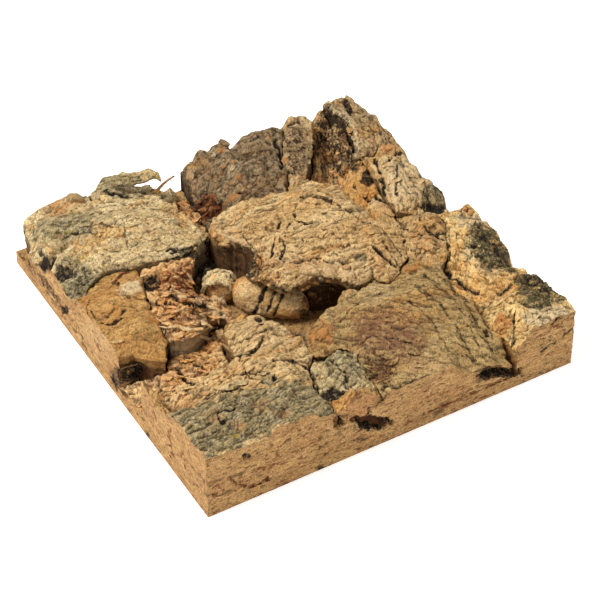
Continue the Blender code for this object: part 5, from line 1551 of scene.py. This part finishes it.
# %% Flakes of the middle and the back
FLAKES |= {
    "centre_chunk": strewn(26, (300, 226), (76, 28), 5, turn=(0, 35), paints=SCALE_PAINTS, **SCALES)
        + strewn(26, (318, 273), (52, 9), 6, length=(2.5, 6), width=(2, 4), paints=TORN_PAINTS,
            thick=(1.6, 3)) + [
        flake((321, 281), 3.6, 7, 0, 0, 0, 3.4, pale=0.8),
        flake((328, 284), 3.4, 5.4, 0, 0, 0, 3.2, warm=0.6),
        flake((314, 293), 6, 5, 20, 0, 0, 3.6, warm=0.9),
        flake((326, 297), 8, 4, -20, 10, 0.6, 3, rust=0.6),
        flake((304, 290), 9, 3.6, -30, 10, 0.6, 3.2, warm=0.6),
        flake((334, 291), 7, 4, -50, 10, 0.6, 3, rust=0.5), flake((303, 213), 9, 6, 15, 9, 0.5, pale=0.3),
        flake((277, 238), 3.4, 13, 8, 4, 0.4, 1.8, warm=0.2),
        flake((258, 261), 4.4, 6.4, -15, 10, 0.8, 2.4, warm=0.8),
        flake((212, 232), 4.2, 8, -18, 4, -1.2, 4, warm=0.3),
        flake((292, 268), 12, 7, 6, 6, -1, 5, warm=0.5, rust=0.2),
        flake((310, 268), 14, 8, 10, 6, -1, 4.6, pale=0.5, warm=0.3),
        flake((330, 270), 12, 7, 12, 6, -1, 5, pale=0.6, warm=0.3),
        flake((348, 274), 13, 7, 14, 6, -1, 4.6, pale=0.5, warm=0.3),
        flake((256, 246), 10, 6, 35, 6, -1, 5, rust=0.4, warm=0.3),
        flake((270, 262), 12, 6, 30, 6, -1, 4.4, rust=0.5),
        flake((222, 246), 9, 6, 30, 6, -1, 4, warm=0.4),
        flake((236, 242), 15, 3.4, 30, 8, 0, 3.4, pale=0.7, warm=0.3),
        flake((320, 192), 13, 3.6, 8, 18, -1.2, 2.2, warm=0.2),
        flake((382, 262), 8, 7, 40, 6, -1, 3, warm=0.4),
        flake((230, 222), 10, 6, -5, 7, 0.5, 1.4, pale=0.3), flake((345, 222), 12, 4.6, 25, 8, 0.6, 1.3),
        flake((262, 226), 8, 4.6, -30, 9, 0.6, 1.3, pale=0.2)],
    "round_chunk": strewn(10, (426, 234), (18, 20), 7, turn=(-60, 60), paints=SCALE_PAINTS, **SCALES) + [
        flake((442, 212), 9, 2.8, 12, 30, -0.8, 1.3, warm=0.7, rust=0.3),
        flake((428, 245), 11, 8, 20, 4, -1, 3, warm=0.35),
        flake((424, 222), 12, 5.4, 5, 5, -0.8, 2.6, purple=0.25)],
    "right_back_chunk": strewn(18, (404, 172), (26, 24), 8, turn=(-90, 90), paints=SCALE_PAINTS, **SCALES)
        + strewn(12, (404, 170), (30, 28), 9, paints=CRUMB_PAINTS, **TINY) + [
        flake((388, 146), 8, 6, -20, 10, -1, 2.8, warm=0.5),
        flake((372, 159), 7, 4, 10, 12, 0.6, 2, pale=0.4),
        flake((398, 158), 6, 4.4, 40, 10, 0.8, 1.8, warm=0.3)],
    "dark_back_chunk": strewn(44, (232, 166), (46, 30), 10, paints=CRUMB_PAINTS, **TINY)
        + strewn(14, (206, 204), (15, 16), 11,
            paints=(dict(rust=0.8), dict(rust=0.5, warm=0.4), dict(dark=0.5))) + [
        flake((225, 142), 8, 5, 0, 0, -0.6, 3),
        flake((193, 176), 4.4, 9, 5, 6, 0.5, 2, pale=0.4, warm=0.3),
        flake((231, 168), 5, 3, 10, 14, 0.8, pale=0.4), flake((212, 155), 4, 2.6, -20, 14, 0.8, pale=0.5),
        flake((247, 150), 8, 5, 20, 10, 0.6, 1.6), flake((233, 181), 7, 4.4, -30, 12, 0.8, 1.6, warm=0.3),
        flake((214, 198), 6, 4, 30, 20, 1.2, 1.6, rust=0.8),
        flake((203, 210), 6, 4, -20, 20, 1.2, 1.6, rust=0.7, warm=0.3),
        flake((258, 172), 8, 5, 0, 8, 0.6, 1.6)],
    "upper_wedge_flake": [
        flake((363, 191), 13, 7, 40, 7, 0.8, 2, warm=0.4)],
    "lower_wedge_flake": [
        flake((389, 210), 11, 7, 30, 7, 0.8, 2, warm=0.3)],
    "back_corner_chunk": strewn(16, (362, 122), (18, 22), 12, turn=(30, 80), paints=SCALE_PAINTS, **SCALES)
        + strewn(14, (362, 124), (18, 24), 13, paints=CRUMB_PAINTS, **TINY),
    "hollow_trough": strewn(12, (334, 140), (12, 32), 14, turn=(50, 80),
            paints=(dict(dark=0.7), dict(dark=0.4))),
}
print(sum(len(shapes) for shapes in FLAKES.values()), "flakes so far")

# %% [markdown]
# Flakes of the right, the front and the lichen plate.

# %% Flakes of the right, the front and the plate
FLAKES |= {
    "mossy_chunk": strewn(14, (466, 250), (18, 26), 16, turn=(60, 110), paints=SCALE_PAINTS, **SCALES)
        + strewn(12, (490, 248), (18, 20), 17, paints=(dict(moss=0.8), dict(pale=0.4)), **TINY) + [
        flake((453, 250), 3, 12, 10, 6, 0.5, 1.6, pale=0.2),
        flake((461, 264), 3, 12, -12, 6, 0.5, 1.6, warm=0.3),
        flake((470, 274), 11, 3.2, 30, 14, 0.6, 1.6, pale=0.4),
        flake((469, 211), 4.4, 3.6, 0, 6, 0, 2.6, warm=0.6, rust=0.3)],
    "right_front_chunk": strewn(14, (520, 300), (34, 24), 18, turn=(-40, 0), paints=SCALE_PAINTS, **SCALES)
        + strewn(12, (536, 286), (24, 14), 19, paints=(dict(moss=0.8), dict(pale=0.5)), **TINY) + [
        flake((492, 299), 11, 6, -25, 9, 0.8, 1.8, pale=0.3),
        flake((501, 325), 7, 7.4, 0, 4, -1.2, 4, warm=0.5), flake((532, 303), 12, 3.4, -20, 12, pale=0.7),
        flake((512, 312), 3, 10, 0, 8, 0.5, 1.6, pale=0.2)],
    "big_brown_chunk": strewn(24, (416, 328), (72, 38), 20, turn=(0, 60), paints=SCALE_PAINTS, **SCALES) + [
        flake((331, 304), 10, 3.8, -35, 14, 0.8, 2.4, warm=0.4, pale=0.3),
        flake((351, 293), 9, 3.8, -30, 12, 0.6, 2.2, pale=0.4),
        flake((320, 333), 9, 9, 20, 4, -1.5, 3.6, warm=0.6),
        flake((412, 268), 7, 3, 0, 8, -0.6, 2.4, warm=0.6),
        flake((378, 352), 7, 4.4, 30, 14, 1, 1.4, rust=0.5, purple=0.3),
        flake((392, 363), 6, 4, -30, 14, 1, 1.4, rust=0.5),
        flake((370, 374), 6, 4, 10, 14, 1, 1.4, dark=0.5),
        flake((392, 318), 10, 3.2, 4, 12, 0.5, 1.3, purple=0.5)],
    "grey_knob": strewn(16, (342, 368), (18, 22), 21, paints=CRUMB_PAINTS, **TINY) + [
        flake((338, 360), 8, 6, 20, 5, -1, 3, lichen=0.5),
        flake((352, 380), 7, 6, -30, 6, -0.8, 3, lichen=0.5),
        flake((331, 384), 6, 4.4, 40, 8, 0, 2.6, lichen=0.4)],
    "front_wedge": strewn(12, (358, 404), (20, 12), 22, paints=(dict(warm=0.5), {}), **TINY),
    "amber_plate": strewn(6, (118, 312), (28, 30), 23, paints=SCALE_PAINTS, **SCALES) + [
        flake((106, 306), 12, 10.5, 20, 3, 0.6, 2, warm=0.25),
        flake((116, 340), 9, 4, -10, 12, 0.8, 1.6, pale=0.3)],
    "grey_plate": strewn(26, (118, 224), (82, 28), 24, turn=(-35, 5), paints=(dict(lichen=0.3), {}),
            **SCALES) + strewn(24, (112, 226), (86, 34), 25, paints=CRUMB_PAINTS, **TINY)
        + strewn(14, (44, 240), (16, 26), 26, paints=CRUMB_PAINTS, length=(3, 7), width=(2.5, 5),
            thick=(2, 3.6)) + [
        flake((55, 245), 12, 8, 20, -5, -1.2, 7, lichen=0.3),
        flake((76, 198), 13, 8, -8, 0, -1.5, 8.5, lichen=0.5),
        flake((48, 210), 5, 4, 0, 0, 0, 4, lichen=0.4), flake((66, 262), 9, 5, 30, 0, -1, 4, lichen=0.3),
        flake((184, 250), 9, 3, -12, 14, 0.8, 1.4, lichen=0.4),
        flake((180, 258), 9, 3, -8, 18, 0.8, 1.4, lichen=0.3), flake((62, 256), 6, 2.6, 60, 18, 0.8, 1.4),
        flake((112, 222), 7, 3, -15, 9, 0.6, 1.2, lichen=0.5),
        flake((150, 236), 9, 4.4, 10, 6, 0.5, 1.2, pale=0.2)],
    "low_back_piece": strewn(26, (194, 218), (20, 24), 27, paints=TORN_PAINTS) + [
        flake((169, 198), 7, 5.4, 5, 8, -1, 5, lichen=0.7),
        flake((186, 206), 6, 5, 30, 10, 0, 3, rust=0.6)],
}


print(sum(len(shapes) for shapes in FLAKES.values()), "flakes")

# %% [markdown]
# A flake is seated where the camera sees its pixel on the finished bark, and sheared to the slope
# there, so that it lies on the bark from every side and not only from the photograph's.

# %% Seating the flakes
def flake_rings(shape, seat, slope, seed):
    """Rings of one flake: a flattened ball, its outline frayed by noise, its ends curled, turned and
    tilted about its long axis, and sheared to follow the slope of the bark under it."""
    rows, sides = (8, 16) if shape["length"] < 5 else (10, 22)
    rise = np.linspace(-math.pi / 2, math.pi / 2, rows)[:, None]
    angle = np.linspace(0, 2 * math.pi, sides, endpoint=False)[None, :]
    frayed = 1 + 0.30 * lumps(3 * np.cos(angle), 3 * np.sin(angle), 1.3, seed) + 0.14 * lumps(
        8 * np.cos(angle), 8 * np.sin(angle), 1.1, seed + 1)
    reach = np.cos(rise) ** 0.6 * frayed
    x, y = reach * np.cos(angle) * shape["length"] / 2, reach * np.sin(angle) * shape["width"] / 2
    z = shape["thick"] / 2 * np.sign(rise) * np.abs(np.sin(rise)) ** 0.7 + 0 * angle
    z = z + shape["curl"] * (2 * x / shape["length"]) ** 2 + 0.35 * lumps(x + 20, y, 2.0, seed + 2)
    z = z + 0.25 * lumps(x, y + 9, 0.9, seed + 3)
    lift, turn = math.radians(-shape["lift"]), AZIMUTH - math.radians(shape["turn"])
    y, z = y * math.cos(lift) - z * math.sin(lift), y * math.sin(lift) + z * math.cos(lift)
    x, y = x * math.cos(turn) - y * math.sin(turn), x * math.sin(turn) + y * math.cos(turn)
    z = z + slope[0] * x + slope[1] * y
    return np.stack([x + seat[0], y + seat[1], z + seat[2] + 0.12 * shape["thick"]], axis=-1)


def seat_at(points, off):
    """The number of the bark point seen at a pixel, of those near it the closest to the camera, and the
    slope of the plane through its neighbours."""
    near = off < max(2.5, off.min() + 0.1)
    away = np.linalg.norm(points - 1000 * np.array(EYE), axis=1)
    chosen = np.where(near, away, np.inf).argmin()
    seat = points[chosen]
    around = points[np.linalg.norm(points - seat, axis=1) < 4] - seat
    sums = around[:, :2].T @ around[:, :2] + 3 * np.eye(2)
    return chosen, np.clip(np.linalg.solve(sums, around[:, :2].T @ around[:, 2]), -0.7, 0.7)


KEPT = dict(dark=0.6, pale=0.7, warm=0.7, rust=0.4, lichen=1.0, moss=1.0, purple=0.7, yellow=0.5)


def make_flakes(name, shapes, bark, under, seed):
    """All flakes of one piece as one object, each seated on the bark where the camera sees its pixel.
    A flake keeps a share of the paint of the bark under it."""
    u, v = seen_at(bark)
    rings, faces, paint = [], [], {key: [] for key in PAINTS}
    for count, shape in enumerate(shapes):
        above = (np.abs(u - shape["at"][0]) < 2) & (v < shape["at"][1] - 4)
        if shape["thick"] < 2.5 and not above.any():
            continue  # a thin flake on the skyline would stand up like a thorn
        seat, slope = seat_at(bark, np.hypot(u - shape["at"][0], v - shape["at"][1]))
        made = flake_rings(shape, bark[seat], slope, seed + 7 * count)
        number = np.arange(made[..., 0].size).reshape(made.shape[:2]) + sum(len(r) for r in rings)
        ahead = np.roll(number, -1, axis=1)
        faces.append(np.stack([number[:-1], ahead[:-1], ahead[1:], number[1:]], axis=-1).reshape(-1, 4))
        rings.append(made.reshape(-1, 3))
        for key in PAINTS:
            own = max(shape["paint"].get(key, 0.0), KEPT[key] * under[key][seat])
            paint[key].append(np.full(made[..., 0].size, own))
    if not rings:
        return
    points = np.concatenate(rings)
    masks = {key: np.concatenate(values) for key, values in paint.items()}
    grit = np.maximum(lumps_in_space(*points.T, 2.4, seed), 0)
    # on flakes the shade and highlight masks follow noise only
    masks.update(crack=0 * grit, hollow=0.5 * grit, crest=0.4 - 0.4 * grit, sawn=0 * grit, wall=0 * grit)
    settle(closed_object(name + "_flakes", points, np.concatenate(faces), masks), name, SLOT_OF[name])

# %% [markdown]
# Now every piece is built in the order of the map, and its flakes are seated on it.

# %% The bark pieces
for number, (name, piece) in enumerate(BARK.items()):
    points, faces, paint = bark_mesh(name, piece, 10 * number)
    made = closed_object(name + "_bark", points, faces, paint)
    settle(made, name, SLOT_OF[name])
    if name in FLAKES:
        natural = paint["sawn"] == 0
        under = {key: paint[key][natural] for key in PAINTS}
        make_flakes(name, FLAKES[name], points[natural], under, 500 + 90 * number)
    print(f"{name}: {len(made.data.polygons)} faces")

# %% [markdown]
# The log, the arched flake, the twig and the board are shapes carried along a path: a ring of points
# at each station, its radius changed by noise.

# %% Tubes and shells
def tube(rings, name, marks=(), waver=1.0):
    """A closed tube from an array of stations by points round. The ends are filled. Marks are pressed
    towards the middle of their ring."""
    count, around = rings.shape[:2]
    points = rings.reshape(-1, 3)
    sink, masks = apply_marks(marks, points, waver)
    outward = rings - rings.mean(axis=1)[:, None]
    outward /= np.linalg.norm(outward, axis=2)[:, :, None] + 1e-9
    points = points - sink[:, None] * outward.reshape(-1, 3)
    number = np.arange(count * around).reshape(count, around)
    ahead = np.roll(number, -1, axis=1)
    faces = np.stack([number[:-1], ahead[:-1], ahead[1:], number[1:]], axis=-1).reshape(-1, 4)
    paint = {key: np.zeros(len(points)) for key in ("crack", "hollow", "crest", "sawn", "wall")}
    return closed_object(name, points, faces, {**masks, **paint})


LOG_MARKS = [
    line((270, 276), (262, 296), (255, 313), width=4.0, sink=0.9, dark=0.95),
    line((280, 280), (267, 312), width=2.5, sink=0.7, dark=1.0),
    line((288, 282), (274, 315), width=2.5, sink=0.7, dark=1.0),
    spot((248, 288), (12, 16), soft=0.5, pale=0.3), spot((292, 304), (12, 8), soft=0.5, pale=0.4),
    spot((242, 306), (10, 8), soft=0.5, warm=0.4), spot((304, 314), (5, 6), dark=0.7),
    spot((306, 302), (5, 7), rust=0.6), line((236, 298), (252, 303), width=1.2, sink=0.5, dark=0.5),
]
ARCH_MIDDLE, ARCH_OUTER, ARCH_WALL, ARCH_LENGTH, ARCH_TURN = (-44.0, 24.0, 24.0), 13.5, 2.8, 15.0, 35.0
ARCH_MARKS = [line((206, 278), (214, 271), (226, 271), (234, 282), width=1.2, sink=0.5, dark=0.8)]
CORE_MARKS = [spot((216, 284), (9, 9), warm=0.5, rust=0.3),
              line((208, 283), (213, 276), (222, 275), width=1.5, dark=1.0)]


def make_log(name, node, slot, marks, middle, half_length, radius, turn, taper=0.0, drop=0.0):
    """A round piece of bark: a tube with blunt ends, thinner and lower towards one of them, pinched by
    noise, flat where it is glued down."""
    along = np.sin(np.linspace(-1, 1, 110) * 1.53)[:, None]
    angle = np.linspace(0, 2 * math.pi, 90, endpoint=False)[None, :]
    across, over = np.cos(angle) + 0 * along, np.sin(angle) + 0 * along
    size = radius * (1 - taper * along) * (1 - np.abs(along) ** 5) ** 0.5
    size = size * (1 + 0.07 * lumps_in_space(4 * along + 0 * angle, 3 * across, 3 * over, 1.6, 5))
    size = size + 0.7 * lumps_in_space(20 * along + 0 * angle, 12 * across, 12 * over, 3, 6) * (1 - along**6)
    size = size + 0.8 * creased(60 * along + 0 * angle, 9 * angle + 0 * along, 5, 7, 2) * (1 - along**6)
    x = half_length * along + 0 * angle
    y, z = size * across, size * over - drop * x
    turn = math.radians(turn)
    rings = np.stack([middle[0] + x * math.cos(turn) - y * math.sin(turn),
                      middle[1] + x * math.sin(turn) + y * math.cos(turn),
                      np.maximum(middle[2] + z, BOARD + 0.4)], axis=-1)
    settle(tube(rings, name, marks, waver=0.3), node, slot)


make_log("striped_log_bark", "striped_log", "striped_bark", LOG_MARKS,
         middle=(-18, -6, 25.5), half_length=28, radius=12.5, turn=-34, taper=0.16, drop=0.2)
make_log("arched_flake_core", "arched_flake", "rust_cork", CORE_MARKS,
         middle=(-44, 24, 23.5), half_length=6.2, radius=9.4, turn=55)


def make_arch():
    """The arched flake: a half ring, drawn along a short line."""
    angle = np.linspace(0, math.pi, 90)[:, None]
    section = np.linspace(0, 2 * math.pi, 48, endpoint=False)[None, :]
    wide = np.clip(1.25 * np.cos(section), -1, 1) * ARCH_LENGTH / 2
    wide = wide * (1 + 0.12 * lumps(9 * angle + 0 * section, wide + 0 * angle, 1.4, 9))
    thick = np.clip(1.25 * np.sin(section), -1, 1) * ARCH_WALL / 2
    radius = ARCH_OUTER - ARCH_WALL / 2 + thick
    radius = radius + 0.8 * lumps(12 * angle + 0 * section, wide + 0 * angle, 2, 8)
    radius = radius + 0.4 * lumps(12 * angle + 3 * section, wide + 5, 1.1, 10)
    x, y, z = radius * np.cos(angle), wide + 0 * angle, radius * np.sin(angle)
    turn = math.radians(-ARCH_TURN)
    rings = np.stack([ARCH_MIDDLE[0] + x * math.cos(turn) - y * math.sin(turn),
                      ARCH_MIDDLE[1] + x * math.sin(turn) + y * math.cos(turn), ARCH_MIDDLE[2] + z], axis=-1)
    settle(tube(rings, "arched_flake_bark", ARCH_MARKS), "arched_flake", "lichen_bark")


make_arch()
PEEL_ROUTE = [(-84.0, 141.0, 50.5), (-72.0, 142.5, 52.5), (-60.0, 140.5, 53.0), (-50.0, 137.5, 52.5),
              (-42.0, 135.0, 54.5), (-35.5, 132.0, 51.0)]
PEEL_WIDTH, PEEL_THICKNESS = 15.0, 3.2


def make_peel():
    """The curled lichen sheet: a flat ring carried along a route, arched across, ragged along its
    edges, and free at its right end, where the photograph shows the background under it."""
    route = smooth_route(PEEL_ROUTE, 110)
    share = np.linspace(0, 1, 110)[:, None]
    angle = np.linspace(0, 2 * math.pi, 64, endpoint=False)[None, :]
    across = np.clip(1.2 * np.cos(angle), -1, 1)
    width = PEEL_WIDTH / 2 * np.minimum(1, 6 * share + 0.3) * (1.15 - 0.55 * share)
    width = width * (1 + 0.22 * lumps(20 * share + 0 * angle, 3 * np.sign(across), 1.6, 71))
    aside = across * width
    up = PEEL_THICKNESS / 2 * np.clip(1.3 * np.sin(angle), -1, 1) * (1 - 0.45 * share)
    up = up - 2.6 * across**2 + 0.7 * lumps(40 * share + 0 * angle, aside, 4, 72)
    grit = 0.35 * lumps(50 * share + 0 * angle, 9 * angle + 0 * share, 1.8, 73)
    rings = np.stack([route[:, :1] + 0.2 * aside, route[:, 1:2] + aside, route[:, 2:] + up + grit], axis=-1)
    settle(tube(rings, "curled_peel_sheet", MARKS["curled_peel"]), "curled_peel", "lichen_bark")


TWIG_ROUTE = [(-46.9, 116.9, 50.1), (-42.0, 116.0, 55.0), (-38.0, 115.0, 58.5), (-33.0, 112.5, 63.0)]
TWIG_RADIUS = 1.2


def smooth_route(points, count):
    """A curve through all the points: Catmull-Rom, whose slope at each point is half the step between
    its neighbours."""
    points = np.array(points, float)
    padded = np.concatenate([2 * points[:1] - points[1:2], points, 2 * points[-1:] - points[-2:-1]])
    share = np.linspace(0, len(points) - 1 - 1e-9, count)
    first = share.astype(int)
    t = (share - first)[:, None]
    a, b, c, d = (padded[first + k] for k in range(4))
    return 0.5 * (2 * b + (c - a) * t + (2 * a - 5 * b + 4 * c - d) * t**2 + (3 * b - a - 3 * c + d) * t**3)


def round_tube(route, radius, around):
    """Rings across a route: at each station a circle in the plane of two vectors at right angles to it."""
    ahead = np.gradient(route, axis=0)
    ahead /= np.linalg.norm(ahead, axis=1)[:, None]
    aside = np.cross(ahead, [0.0, 0.3, 1.0])
    aside /= np.linalg.norm(aside, axis=1)[:, None]
    over = np.cross(aside, ahead)
    angle = np.linspace(0, 2 * math.pi, around, endpoint=False)
    circle = aside[:, None] * np.cos(angle)[None, :, None] + over[:, None] * np.sin(angle)[None, :, None]
    return route[:, None] + radius[:, :, None] * circle


def make_twig():
    """The dry twig: a bent tube with knots, thinner towards its tip."""
    route = smooth_route(TWIG_ROUTE, 60)
    share = np.linspace(0, 1, 60)[:, None]
    angle = np.arange(20)[None, :]
    knots = 1 + 0.16 * lumps(14 * share + 0 * angle, angle + 0 * share, 1, 3)
    radius = TWIG_RADIUS * (1.05 - 0.45 * share) * knots
    settle(tube(round_tube(route, radius, 20), "twig_wood"), "twig", "twig_wood")


make_twig()
make_peel()

# %% [markdown]
# The board under everything is pressed from cork granules, so its saw cut is pitted and even.

# %% The board
def make_board():
    """The pressed-cork board: a profile carried round the square, flat below, pitted on the saw cut."""
    side = np.arange(-HALF, HALF, PITCH)
    fixed = np.full(len(side), HALF)
    path = np.concatenate([np.stack([side, -fixed], 1), np.stack([fixed, side], 1),
                           np.stack([-side, fixed], 1), np.stack([-fixed, -side], 1)])
    heights = np.linspace(BOARD, 0, 15)
    around = np.tile(path, (15, 1))
    places = np.stack([around[:, 0], around[:, 1], np.repeat(heights, len(path))], 1)
    pitted, pits = saw_texture(places)
    marked, masks = apply_marks(SAWN_MARKS, places)
    aside = np.stack(sawn_sides(places[:, 0], places[:, 1]), axis=1)
    facing = aside.min(axis=1) < 0
    inner = ease(0, 1.5, BOARD - places[:, 2]) * ease(0, 1.5, places[:, 2])
    places[:, :2] -= ((pitted + np.where(facing, marked, 0)) * inner)[:, None] * aside
    number = np.arange(len(places)).reshape(15, len(path))
    ahead = np.roll(number, -1, axis=1)
    faces = np.stack([number[:-1], number[1:], ahead[1:], ahead[:-1]], axis=-1).reshape(-1, 4)
    paint = {key: np.where(facing, masks[key], 0) for key in PAINTS}
    nothing = np.zeros(len(places))
    paint.update(crack=pits, sawn=nothing + 1, wall=nothing, hollow=nothing, crest=nothing)
    made = closed_object("backing_board_cork", places, faces, paint)
    settle(made, "backing_board", "pressed_cork")


make_board()

# %% The last line
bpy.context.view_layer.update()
faces = sum(len(piece.data.polygons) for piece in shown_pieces() if piece.type == "MESH")
